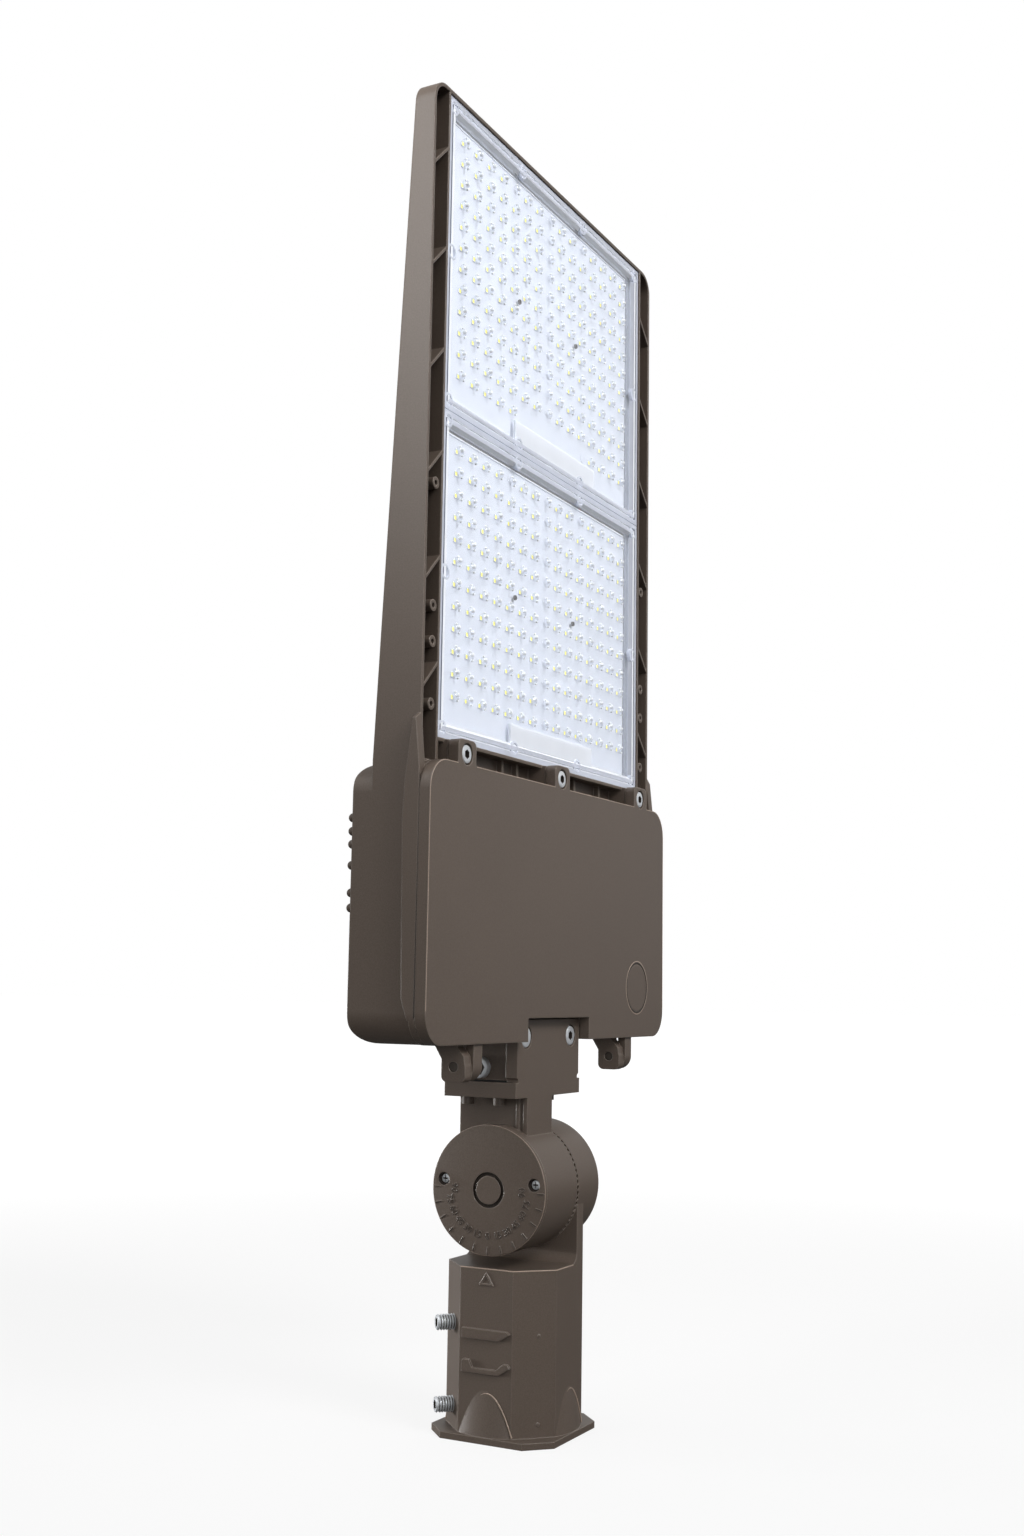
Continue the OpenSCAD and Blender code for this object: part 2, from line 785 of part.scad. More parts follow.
module hinge_lug(x) {
    along_x(x, x + lug_len) {
        round_box(hinge_y - lug_r, hinge_y + lug_r, hinge_z - lug_drop, hinge_z + 4, 4);
        polygon([
            [hinge_y - lug_r, hinge_z - 2], [hinge_y - lug_r + 1, hinge_z + 6],
            [seam_y + 0.5, box_z - 1.5], [seam_y + 0.5, box_z + 1],
            [hinge_y + lug_r + 6, box_z + 1], [hinge_y + lug_r, hinge_z + 4.5],
            [hinge_y + lug_r, hinge_z - 2]
        ]);
    }
}

// Cooling studs in a row down the back, by one side.
module back_studs() {
    for (rise = stud_rise)
        translate([-cavity_half, box_back, box_z + rise]) {
            rotate([-90, 0, 0]) cylinder(h = stud_t, r = stud_r);
            translate([0, stud_t, 0]) sphere(stud_r);
        }
}

// Screw places of a lens module, as (x, z below its top edge, head depth).
function lens_screws_at() = concat(
    [for (x = screw_cols, z = screw_rows) [x, z, lens_front]],
    [for (side = [-1, 1]) [side * screw_edge, module_h / 2 - 0.5, lens_front]],
    [for (side = [-1, 1]) [side * 2.5 * pitch_x, row_top + 5.5 * pitch_z, field_front]]);

module lead_tunnel() {
    translate([out_x, out_y, cavity_top - 1]) cylinder(h = out_z - cavity_top + 1, r = tunnel_r);
    translate([out_x, out_y, cavity_top - 1]) cylinder(h = 6, r = grommet_r + gap);
    rod_y(out_x, floor_y - 1, out_y + 4, out_z, tunnel_r + 0.5);
    // channel under the boards
    block(out_x - 3, out_x + 3, floor_y - 1, link_y + out_r + 0.2, out_z + link_rise - 3,
        out_z + module_h + 3);
}

module housing() {
    color([0.36, 0.33, 0.30]) difference() {
        union() {
            difference() {
                intersection() {
                    along_x(-head_half, head_half) head_side();
                    along_y(-60, 60) round_box(-head_half, head_half, box_z, head_top, tip_r);
                }
                // back of the head, open between the fins
                block(-lens_half + 2, lens_half - 2, floor_y + floor_t, 60, slot_top + 6, head_top - 3);
                block(-lens_half + 2, lens_half - 2, slot_floor + 3.5, 60, box_top + 3, slot_top + 7);
                // seat for the lens modules
                block(-lens_half - fine, lens_half + fine, -60, floor_y, lens_low - fine,
                    lens_top + fine);
                rail_pockets();
                mirror([1, 0, 0]) rail_pockets();
            }
            intersection() {
                along_x(-head_half, head_half) box_side();
                along_y(-60, 60) round_box(-head_half, head_half, box_z, box_top, box_r);
            }
            along_y(seam_y, seam_y + rim_depth) round_box(-rim_half, rim_half, box_z, box_top, box_r);
            intersection() {
                union() {
                    fairing(1);
                    fairing(-1);
                }
                along_y(-60, 60)
                    round_box(-rim_half, rim_half, box_z, head_top, box_r);
            }
            fins();
            pocket_bosses();
            back_studs();
            // block round the lead tunnel
            block(out_x - 9, out_x + 9, slot_floor, out_y + 8, box_top - 2, out_z + 8);
            // seats of the door's tabs
            for (x = tab_cols)
                block(x - tab_w / 2 + 0.5, x + tab_w / 2 - 0.5, seam_y, tab_seat_y,
                    box_top - 4, lens_low - 1);
            // boss that the arm bolts to
            block(-boss_half, boss_half, tongue_y + tongue_t + gap, box_back - 1, boss_bottom,
                box_z + 1);
            hinge_lug(hinge_left);
            hinge_lug(hinge_right);
        }
        box_cavity();
        // seat of the tongue
        block(-notch_half, notch_half, -60, tongue_y + tongue_t + gap, box_z - 60, notch_top);
        // air slot between the tabs
        difference() {
            block(-slot_half - 28, slot_half + 28, -60, slot_floor, slot_bottom, slot_top);
            for (x = tab_cols)
                block(x - tab_w / 2 + 0.5, x + tab_w / 2 - 0.5, -60, 0, box_z, head_top);
            for (side = [-1, 1], x = slot_rib_x)
                block(side * x - 1, side * x + 1, slot_rib_y, 0, box_z, head_top);
        }
        lead_tunnel();
        translate([lead_x, 0, boss_bottom - 1]) cylinder(h = 60, r = lead_way_r + gap);
        for (x = [-tongue_bolt_x, tongue_bolt_x])
            rod_y(x, tongue_y, tongue_y + 27, tongue_bolt_z, tongue_bolt_r + gap);
        for (x = [-under_bolt_x, under_bolt_x], y = under_bolt_y)
            translate([x, y, boss_bottom - 1]) cylinder(h = 20, r = under_bolt_r + gap);
        rod_x(-boss_half - 1, -boss_half + 14, side_bolt_y, side_bolt_z, side_bolt_r + gap);
        for (x = [hinge_left, hinge_right])
            rod_x(x - 1, x + lug_len + 1, hinge_y, hinge_z, pin_r + gap);
        for (x = tab_cols)
            rod_y(x, seam_y - 1, -6, tab_screw_z, door_screw_r + 0.6);
        for (side = [-1, 1], z = pocket_boss_z)
            rod_y(side * pocket_boss_x, rail_y - 1, rail_y + 8, z, pocket_screw_r);
        for (top = [lens_top, lens_top - module_h], p = lens_screws_at())
            rod_y(p[0], floor_y - 1, floor_y + 3, top - p[1], lens_screw_r + gap);
        for (p = back_screws_at())
            rod_y(p[0], cavity_back - 1, cavity_back + 3, p[1], p[2] + gap);
    }
}

// ---- light engine ----

module lens(top) {
    low = top - module_h + module_gap;
    back = floor_y - gasket_t;
    color([0.86, 0.88, 0.92]) difference() {
        union() {
            difference() {
                block(-lens_half, lens_half, lens_front, back, low, top);
                block(-field_half, field_half, lens_front - 1, back + 1, low + lens_rim_h,
                    top - lens_rim_h);
            }
            block(-field_half - 1, field_half + 1, field_front, field_front + field_t,
                low + lens_rim_h - 1, top - lens_rim_h + 1);
            for (side = [-1, 1])
                rod_y(side * 2.5 * pitch_x, field_front, board_y - gap,
                    top - row_top - 5.5 * pitch_z, post_r);
            // cover over the lead's way in
            block(cover_x[0], cover_x[1], field_front - cover_t, field_front + 0.2,
                low + cover_z[0], low + cover_z[1]);
        }
        // double groove round the rim
        for (inset = groove_in)
            difference() {
                block(-lens_half + inset, lens_half - inset, lens_front - 1,
                    lens_front + groove_t, low + inset - 2, top - inset + 2);
                block(-lens_half + inset + groove_w, lens_half - inset - groove_w,
                    lens_front - 2, lens_front + 2, low + inset + groove_w - 2,
                    top - inset - groove_w + 2);
                // the screws' bosses stand through the grooves
                for (p = lens_screws_at())
                    rod_y(p[0], lens_front - 3, lens_front + 3, top - p[1], screw_boss_r);
            }
        for (p = lens_screws_at()) {
            rod_y(p[0], lens_front - 1, floor_y, top - p[1], lens_screw_r + 0.1);
            if (p[2] == lens_front)
                rod_y(p[0], lens_front - 1, lens_front + screw_sink, top - p[1], lens_sink_r);
        }
    }
}

module lens_gasket(top) {
    low = top - module_h + module_gap;
    color([0.12, 0.12, 0.12]) difference() {
        block(-lens_half + 1, lens_half - 1, floor_y - gasket_t + gap, floor_y - gap,
            low + 1, top - 1);
        block(-field_half - 1, field_half + 1, -60, 60, low + lens_rim_h - 1,
            top - lens_rim_h + 1);
        for (p = lens_screws_at())
            rod_y(p[0], floor_y - 4, floor_y + 1, top - p[1], 1.7);
    }
}

module led_board(top) {
    low = top - module_h + module_gap;
    color([0.90, 0.91, 0.92]) difference() {
        block(-field_half + 1.5, field_half - 1.5, board_y, floor_y - gap, low + 10, top - 10);
        for (side = [-1, 1])
            rod_y(side * 2.5 * pitch_x, board_y - 1, floor_y + 1,
                top - row_top - 5.5 * pitch_z, 1.7);
        for (rise = [0, link_rise])
            rod_y(out_x, board_y - 1, floor_y + 1, low + out_z - lens_low + rise,
                link_hole_r);
    }
}

// A lamp sits at each crossing, but for the middle column and three gaps in the top row.
function lamp_here(col, row) =
    col != (lamp_cols - 1) / 2 && !(row == 0 && (col == 4 || col == 10));

module leds(top) {
    color([0.96, 0.93, 0.55])
        for (row = [0 : lamp_rows - 1], col = [0 : lamp_cols - 1])
            if (lamp_here(col, row))
                translate([
                    (col - (lamp_cols - 1) / 2) * pitch_x - led_size[0] / 2,
                    board_y - led_size[1] - gap,
                    top - row_top - row * pitch_z - led_size[2] / 2
                ]) cube(led_size);
}

module upper_lens() {
    lens(lens_top);
}

module lower_lens() {
    lens(lens_top - module_h);
}

module upper_lens_gasket() {
    lens_gasket(lens_top);
}

module lower_lens_gasket() {
    lens_gasket(lens_top - module_h);
}

module upper_led_board() {
    led_board(lens_top);
}

module lower_led_board() {
    led_board(lens_top - module_h);
}

module upper_leds() {
    leds(lens_top);
}

module lower_leds() {
    leds(lens_top - module_h);
}

module lens_screws() {
    color([0.75, 0.76, 0.77])
        for (top = [lens_top, lens_top - module_h], p = lens_screws_at()) {
            seat = p[2] == lens_front ? lens_front + screw_sink - gap : field_front - gap;
            translate([p[0], seat, top - p[1]]) rotate([90, 0, 0]) {
                cylinder(h = lens_head[1], r = lens_head[0]);
                translate([0, 0, -(floor_y + 2.6 - seat)])
                    cylinder(h = floor_y + 2.7 - seat, r = lens_screw_r);
            }
        }
}

// ---- driver box contents ----

// Screws into the back wall, as (x, z, radius).
function driver_screws_at() = [for (side = [-1, 1], z = [-22, 22])
    [driver_at[0] + side * (driver_size[0] / 2 + 5), driver_at[2] + z, 2]];
function surge_screws_at() = [for (side = [-1, 1])
    [surge_at[0], surge_at[2] + side * (surge_size[2] / 2 + 4), 2]];
function block_screws_at() = [for (side = [-1, 1])
    [block_at[0] + side * (block_size[0] / 2 - 4), block_at[2], 1.5]];
function ground_screw_at() = [[19.5 - cavity_half, box_z + 25.5, 2.5]];
function back_screws_at() = concat(driver_screws_at(), surge_screws_at(), block_screws_at(),
    ground_screw_at());

module case_box(size, at) {
    translate([at[0] - size[0] / 2, at[1] - size[1] / 2, at[2] - size[2] / 2]) cube(size);
}

module back_screws(list, seat, head_r, head_t) {
    color([0.75, 0.76, 0.77])
        for (p = list)
            translate([p[0], seat - gap, p[1]]) rotate([90, 0, 0]) {
                cylinder(h = head_t, r = head_r);
                translate([0, 0, -(cavity_back + 2.8 - seat)])
                    cylinder(h = cavity_back + 2.9 - seat, r = p[2]);
            }
}

module driver() {
    color([0.80, 0.81, 0.82]) difference() {
        union() {
            case_box(driver_size, driver_at);
            block(driver_at[0] - driver_size[0] / 2 - 10, driver_at[0] + driver_size[0] / 2 + 10,
                cavity_back - gap - foot_t, cavity_back - gap, driver_at[2] - 30,
                driver_at[2] + 30);
        }
        for (p = driver_screws_at())
            rod_y(p[0], 0, cavity_back + 1, p[1], p[2] + 0.2);
    }
}

module driver_screws() {
    back_screws(driver_screws_at(), cavity_back - gap - foot_t, 3.8, 2.6);
}

module surge_protector() {
    color([0.16, 0.16, 0.17]) difference() {
        union() {
            case_box(surge_size, surge_at);
            block(surge_at[0] - 9, surge_at[0] + 9, cavity_back - gap - foot_t, cavity_back - gap,
                surge_at[2] - surge_size[2] / 2 - 8, surge_at[2] + surge_size[2] / 2 + 8);
        }
        for (p = surge_screws_at())
            rod_y(p[0], 0, cavity_back + 1, p[1], p[2] + 0.2);
    }
}

module surge_protector_screws() {
    back_screws(surge_screws_at(), cavity_back - gap - foot_t, 3.8, 2.6);
}

module terminal_block() {
    color([0.93, 0.93, 0.90]) difference() {
        case_box(block_size, block_at);
        for (p = block_screws_at()) {
            rod_y(p[0], -20, cavity_back + 1, p[1], p[2] + 0.2);
            rod_y(p[0], -20, cavity_back - 6, p[1], 3.2);
        }
        for (i = [-1, 0, 1])
            rod_y(block_at[0] + i * 10, -20, cavity_back - 9, block_at[2] - 5, 2.2);
    }
}

module terminal_block_screws() {
    back_screws(block_screws_at(), cavity_back - 6, 2.8, 2);
}

module ground_screw() {
    color([0.30, 0.55, 0.30])
        back_screws(ground_screw_at(), cavity_back - earth_seat, earth_head_r, 3);
}

// Leads from the terminal block to the driver, and to the earth screw.
module supply_leads() {
    driver_side = driver_at[0] - driver_size[0] / 2 - touch;
    block_side = block_at[0] - block_size[0] / 2 - touch;
    block_top = block_at[2] + block_size[2] / 2 + touch;
    color([0.12, 0.12, 0.12])
        for (i = [0, 1]) {
            start_x = block_at[0] - 10 + 10 * i;
            run_y = 8 - 4 * i;
            turn_x = driver_side - 8 - 5 * i;
            end_z = driver_at[2] + 8 * i;
            lead([
                [start_x, block_at[1], block_top],
                [start_x, block_at[1], block_top + 4],
                [start_x, run_y, block_top + 4],
                [turn_x, run_y, block_top + 4],
                [turn_x, run_y, end_z],
                [driver_side, run_y, end_z]
            ]);
        }
    earth = ground_screw_at()[0];
    earth_y = cavity_back - earth_seat - lead_r;
    color([0.15, 0.45, 0.20])
        lead([
            [block_side, block_at[1], block_at[2]],
            [block_side - 11, block_at[1], block_at[2]],
            [earth[0] + 12, earth_y, earth[1]],
            [earth[0] + earth_head_r + touch, earth_y, earth[1]]
        ]);
}

// Leads from the terminal block along the floor to the surge protector.
module surge_leads() {
    block_side = block_at[0] + block_size[0] / 2 + touch;
    surge_low = surge_at[2] - surge_size[2] / 2 - touch;
    color([0.55, 0.12, 0.12])
        for (i = [0, 1]) {
            run_z = island_top + 4.5 + 4 * i;
            end_x = surge_at[0] - 10 - 6 * i;
            lead([
                [block_side, block_at[1], run_z],
                [end_x, block_at[1], run_z],
                [end_x, block_at[1], surge_low]
            ]);
        }
}

// Leads from the driver to the lower board, and on from there to the upper board.
module output_leads() {
    driver_side = driver_at[0] + driver_size[0] / 2 + touch;
    turn_x = driver_side + 12;
    board_step = module_h;
    color([0.60, 0.10, 0.10])
        for (side = [-1, 1]) {
            shift = side * out_pitch / 2;
            lead([
                [driver_side, out_y + shift, driver_at[2] + 8],
                [turn_x, out_y + shift, driver_at[2] + 8],
                [turn_x, out_y + shift, cavity_top - 8],
                [out_x, out_y + shift, cavity_top - 8],
                [out_x, out_y + shift, out_z + shift],
                [out_x, board_y, out_z + shift]
            ], out_r);
            lead([
                [out_x + shift, board_y, out_z + link_rise],
                [out_x + shift, link_y, out_z + link_rise],
                [out_x + shift, link_y, out_z + board_step],
                [out_x + shift, board_y, out_z + board_step]
            ], out_r, 1.2);
        }
}

module grommet(r, inner, neck) {
    difference() {
        union() {
            cylinder(h = neck, r = r);
            translate([0, 0, -2]) cylinder(h = 2, r = r + 2.5);
        }
        translate([0, 0, -3]) cylinder(h = neck + 4, r = inner);
    }
}

module inlet_grommet() {
    color([0.09, 0.09, 0.09])
        translate([lead_x, 0, island_top + gap]) mirror([0, 0, 1]) grommet(lead_way_r, 6.5, 6);
}

module board_grommet() {
    color([0.09, 0.09, 0.09])
        translate([out_x, out_y, cavity_top - gap]) grommet(grommet_r, 3.8, 4.5);
}

// ---- door ----

module hinge_pins() {
    color([0.42, 0.39, 0.36])
        for (x = [hinge_left, hinge_right]) {
            ring_end = x + lug_len + fine + ring_len;
            rod_x(x + 0.5, ring_end + 0.4, hinge_y, hinge_z, pin_r);
            rod_x(ring_end + fine, ring_end + pin_head[1], hinge_y, hinge_z, pin_head[0]);
            rod_x(ring_end + pin_head[1] - 0.1, ring_end + pin_head[1] + pin_crown[1] - 0.1,
                hinge_y, hinge_z, pin_crown[0]);
        }
}

// Outline of the door, inset from its edge all round and along the notch.
module door_outline(inset) {
    r = max(box_r - inset, 4);
    difference() {
        round_box(-rim_half + inset, rim_half - inset, box_z + inset, box_top - inset, r);
        translate([-notch_half - inset, box_z - 20])
            square([2 * (notch_half + inset), notch_top - box_z + 20 + inset]);
    }
}

module door() {
    back = seam_y - seam_gap;
    color([0.40, 0.37, 0.34]) difference() {
        union() {
            along_y(door_front, back) {
                door_outline(0);
                for (x = tab_cols)
                    round_box(x - tab_w / 2, x + tab_w / 2, box_top - 12, tab_top, tab_r);
            }
            for (x = [hinge_left, hinge_right]) {
                ring_x = x + lug_len + fine;
                rod_x(ring_x, ring_x + ring_len, hinge_y, hinge_z, ring_r);
                block(ring_x, ring_x + ring_len, hinge_y - ring_r, back, hinge_z, box_z + 1);
            }
        }
        along_y(door_front + door_wall, back + 1) difference() {
            door_outline(door_wall);
            for (x = tab_cols)
                translate([x - tab_w / 2, box_top - 6]) square([tab_w, 30]);
        }
        for (x = [hinge_left, hinge_right])
            rod_x(x + lug_len - 1, x + lug_len + ring_len + 2, hinge_y, hinge_z, pin_r + gap);
        for (x = tab_cols) {
            rod_y(x, door_front - 1, back + 1, tab_screw_z, tab_hole_r);
            rod_y(x, door_front - 1, door_front + door_head_t, tab_screw_z, door_head_r + 0.6);
            rod_y(x, back - retainer_t, back + 1, tab_screw_z, retainer_r);
        }
        // ring of the sensor knockout
        difference() {
            rod_y(knockout_x, door_front - 1, door_front + knockout_t, knockout_z, knockout_r);
            rod_y(knockout_x, door_front - 2, door_front + 1, knockout_z,
                knockout_r - knockout_w);
        }
    }
}

module door_gasket() {
    color([0.08, 0.08, 0.08])
        along_y(door_front + door_wall + gap, seam_y - 0.1) difference() {
            door_outline(door_wall + 0.2);
            door_outline(door_wall + 0.2 + seal_w);
            for (x = tab_cols)
                translate([x - tab_w / 2 - 0.2, box_top - 6.2]) square([tab_w + 0.4, 30]);
        }
}

module screw_retainers() {
    back = seam_y - seam_gap;
    color([0.85, 0.85, 0.82])
        for (x = tab_cols) difference() {
            rod_y(x, back - retainer_t + gap, back, tab_screw_z, retainer_r - 0.1);
            rod_y(x, back - 2, back + 1, tab_screw_z, door_screw_r + 0.3);
        }
}

module door_screw(x) {
    color([0.76, 0.77, 0.78])
        translate([x, door_front + 0.2, tab_screw_z]) rotate([90, 0, 0])
            socket_screw(door_screw_r, 12, door_head_r, door_head_t - 0.2 - gap, 6);
}

module door_screw_left() {
    door_screw(tab_cols[0]);
}

module door_screw_middle() {
    door_screw(tab_cols[1]);
}

module door_screw_right() {
    door_screw(tab_cols[2]);
}

socket_casting();
set_bolt_upper();
set_bolt_lower();
pivot_bolt();
pivot_nut();
pivot_washer();
arm_casting();
dial_cap();
dial_cap_screws();
tongue_bolts();
ledge_bolts();
arm_gasket();
boss_side_bolt();
housing();
upper_lens();
lower_lens();
upper_lens_gasket();
lower_lens_gasket();
upper_led_board();
lower_led_board();
upper_leds();
lower_leds();
lens_screws();
driver();
driver_screws();
surge_protector();
surge_protector_screws();
terminal_block();
terminal_block_screws();
supply_leads();
surge_leads();
output_leads();
inlet_grommet();
board_grommet();
ground_screw();
hinge_pins();
door();
door_gasket();
screw_retainers();
door_screw_left();
door_screw_middle();
door_screw_right();
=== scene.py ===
import bpy
import bmesh
import math
from mathutils import Matrix, Vector


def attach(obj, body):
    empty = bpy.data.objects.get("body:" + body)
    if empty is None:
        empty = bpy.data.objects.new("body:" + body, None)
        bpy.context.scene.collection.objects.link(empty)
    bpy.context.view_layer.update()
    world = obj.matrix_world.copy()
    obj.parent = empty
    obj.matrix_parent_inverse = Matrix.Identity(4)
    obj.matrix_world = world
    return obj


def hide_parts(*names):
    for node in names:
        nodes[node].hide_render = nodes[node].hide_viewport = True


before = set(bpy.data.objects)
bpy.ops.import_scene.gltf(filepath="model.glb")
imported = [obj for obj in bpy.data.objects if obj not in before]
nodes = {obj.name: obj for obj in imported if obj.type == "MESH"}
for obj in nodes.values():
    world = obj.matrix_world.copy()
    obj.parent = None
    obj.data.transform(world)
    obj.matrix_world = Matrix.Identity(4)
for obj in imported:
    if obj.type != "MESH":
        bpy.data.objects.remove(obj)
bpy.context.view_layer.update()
print("frame loaded:", len(nodes), "nodes")


# camera: metres and degrees

view = {
    "place": (-0.96825, -0.50844, 0.27587),
    "turn": (97.5237, -0.8829, -62.0307),
    "lens": 38.934,
    "sensor": 36.0,
    "clip": (0.02, 50.0),
}


def makeCamera():
    data = bpy.data.cameras.new("camera")
    data.lens = view["lens"]
    data.sensor_width = view["sensor"]
    data.clip_start, data.clip_end = view["clip"]
    camera = bpy.data.objects.new("camera", data)
    bpy.context.scene.collection.objects.link(camera)
    camera.location = view["place"]
    camera.rotation_euler = [math.radians(angle) for angle in view["turn"]]
    bpy.context.scene.camera = camera


makeCamera()
bpy.context.scene.view_settings.view_transform = "Standard"
print("camera placed")


# shader nodes: a wire is one socket, and sums on wires add Math nodes

class Wire:
    def __init__(self, shader, socket):
        self.shader = shader
        self.socket = socket

    def maths(self, operation, first, second):
        return self.shader.add("ShaderNodeMath", {"operation": operation}, {0: first, 1: second})

    def __add__(self, other):
        return self.maths("ADD", self, other)

    def __radd__(self, other):
        return self.maths("ADD", other, self)

    def __sub__(self, other):
        return self.maths("SUBTRACT", self, other)

    def __rsub__(self, other):
        return self.maths("SUBTRACT", other, self)

    def __mul__(self, other):
        return self.maths("MULTIPLY", self, other)

    def __rmul__(self, other):
        return self.maths("MULTIPLY", other, self)

    def clamped(self):
        return self.maths("MINIMUM", self.maths("MAXIMUM", self, 0.0), 1.0)


socketNames = {
    "colour": "Base Color", "roughness": "Roughness", "metallic": "Metallic", "normal": "Normal",
    "specular": "Specular IOR Level", "glow": "Emission Color", "glowStrength": "Emission Strength",
}


class Shader:
    def __init__(self, name):
        self.material = bpy.data.materials.new(name)
        self.material.use_nodes = True
        self.tree = self.material.node_tree
        self.surface = self.tree.nodes["Principled BSDF"]
        self.output = self.tree.nodes["Material Output"]

    def add(self, kind, settings=None, inputs=None, output=0):
        node = self.tree.nodes.new(kind)
        for name, value in (settings or {}).items():
            setattr(node, name, value)
        for name, value in (inputs or {}).items():
            self.feed(node.inputs[name], value)
        return Wire(self, node.outputs[output])

    def feed(self, socket, value):
        if isinstance(value, Wire):
            self.tree.links.new(value.socket, socket)
        else:
            socket.default_value = value

    def mixed(self, factor, first, second):
        inputs = {0: factor, 6: opaque(first), 7: opaque(second)}  # 6 and 7 are its colours
        return self.add("ShaderNodeMix", {"data_type": "RGBA"}, inputs, 2)

    def place(self):
        return self.add("ShaderNodeTexCoord", output="Object")

    def noise(self, scale, detail=2.0, roughness=0.5):
        inputs = {"Vector": self.place(), "Scale": scale, "Detail": detail, "Roughness": roughness}
        return self.add("ShaderNodeTexNoise", None, inputs)

    def bump(self, height, distance, strength, normal=None):
        inputs = {"Height": height, "Distance": distance, "Strength": strength}
        if normal is not None:
            inputs["Normal"] = normal
        return self.add("ShaderNodeBump", None, inputs)

    def set(self, **inputs):
        for name, value in inputs.items():
            self.feed(self.surface.inputs[socketNames[name]], value)

    def shown(self, value):
        self.feed(self.output.inputs["Surface"], value)


def opaque(colour):
    return (*colour, 1.0) if isinstance(colour, tuple) and len(colour) == 3 else colour


# a screen colour, 0 to 255, as the linear colour that a socket takes

def lin(red, green, blue):
    def channel(value):
        value = value / 255
        return value / 12.92 if value <= 0.04045 else ((value + 0.055) / 1.055) ** 2.4
    return (channel(red), channel(green), channel(blue))


# powder coat: fine grain, paler at edges from wear and as a painted highlight; a small radius keeps
# small relief sharp

bronze = {
    "colour": lin(80, 68, 59),
    "shade": lin(73, 62, 54),
    "edge": lin(150, 139, 129),
    "roughness": 0.38,
    "specular": 0.32,
    "cloudScale": 14.0,
    "grainScale": 1400.0,
    "grainDepth": 0.00006,
    "grainBump": 0.35,
    "grainTone": 0.25,
    "grainRough": 0.12,
    "edgeRadius": 0.0011,
    "edgeSamples": 6,
    "edgeGain": 4.0,
    "edgeWearAndHighlight": 0.6,
    "edgeGloss": 0.14,
}


def powderCoat(name, radius=bronze["edgeRadius"], shade=1.0):
    shader = Shader(name)
    softNormal = shader.add("ShaderNodeBevel", {"samples": bronze["edgeSamples"]},
                            {"Radius": radius})
    flatNormal = shader.add("ShaderNodeNewGeometry", output="Normal")
    alike = shader.add("ShaderNodeVectorMath", {"operation": "DOT_PRODUCT"},
                       {0: softNormal, 1: flatNormal}, "Value")
    edge = ((1.0 - alike) * bronze["edgeGain"]).clamped()
    cloud = shader.noise(bronze["cloudScale"], 3.0)
    grain = shader.noise(bronze["grainScale"], 2.0, 0.6)
    low, high, bright = [tuple(shade * part for part in bronze[tone])
                         for tone in ("shade", "colour", "edge")]
    body = shader.mixed(cloud, low, high)
    speck = shader.mixed(grain * bronze["grainTone"], body, bright)
    # edges turn towards the edge colour: wear and painted highlight
    shader.set(colour=shader.mixed(edge * bronze["edgeWearAndHighlight"], speck, bronze["edge"]),
               roughness=bronze["roughness"] + grain * bronze["grainRough"]
               - edge * bronze["edgeGloss"],
               metallic=0.0, specular=bronze["specular"],
               normal=shader.bump(grain, bronze["grainDepth"], bronze["grainBump"], softNormal))
    return shader.material


# bare metal: stained colour and brushed gloss; a pair is a noise's scale and detail, or the least
# roughness and its spread

metals = {
    "zincPlate": {"dark": lin(206, 210, 214), "light": lin(232, 235, 238), "metallic": 0.6,
                  "brush": (900.0, 2.0), "stain": (160.0, 3.0), "roughness": (0.28, 0.16),
                  "edgeRadius": 0.0003},
    "darkSteel": {"dark": lin(62, 56, 51), "light": lin(84, 76, 69), "metallic": 0.5,
                  "brush": (240.0, 2.0), "stain": (240.0, 2.0), "roughness": (0.38, 0.14),
                  "edgeRadius": 0.0005},
}
metalEdgeSamples = 4


def bareMetal(name):
    values = metals[name]
    shader = Shader(name)
    brushed = shader.noise(*values["brush"])
    stain = shader.noise(*values["stain"])
    least, spread = values["roughness"]
    shader.set(colour=shader.mixed(stain, values["dark"], values["light"]),
               roughness=least + brushed * spread, metallic=values["metallic"],
               normal=shader.add("ShaderNodeBevel", {"samples": metalEdgeSamples},
                                 {"Radius": values["edgeRadius"]}))
    return shader.material


# moulded and painted finishes: a soft cloud in colour, gloss and bump

moulded = {"depth": 0.00003, "bump": 0.4, "rough": 0.1}


def plainFinish(name, dark, light, roughness, scale, **more):
    shader = Shader(name)
    cloud = shader.noise(scale, 3.0)
    shader.set(colour=shader.mixed(cloud, dark, light),
               roughness=roughness + cloud * moulded["rough"],
               normal=shader.bump(cloud, moulded["depth"], moulded["bump"]), **more)
    return shader.material


# clear plastic: milky by its haze, more so where it is seen edge-on by its wall

clear = {"ior": 1.49, "gloss": 0.06, "tint": (0.97, 0.98, 1.0), "cloudScale": 60.0,
         "milkRoughness": (0.3, 0.1), "grazing": 0.35}
clearKinds = {
    "field": {"dark": lin(226, 232, 243), "light": lin(240, 244, 251), "haze": 0.10, "wall": 0.16},
    "rim": {"dark": lin(206, 211, 226), "light": lin(222, 227, 240), "haze": 0.55, "wall": 0.35},
    # the next kind, near white, is painted light on the rim's bars and along the ends; the one
    # after, grey, is painted shade in the rim's grooves
    "rimPaintedLight": {"dark": lin(236, 240, 248), "light": lin(248, 250, 255), "haze": 0.85, "wall": 0.1},
    "groove": {"dark": lin(128, 133, 146), "light": lin(150, 155, 168), "haze": 0.85, "wall": 0.1},
    "cover": {"dark": lin(228, 233, 242), "light": lin(238, 242, 250), "haze": 0.80, "wall": 0.1},
    "optic": {"dark": lin(208, 213, 224), "light": lin(228, 232, 240), "haze": 0.02, "wall": 0.38},
}


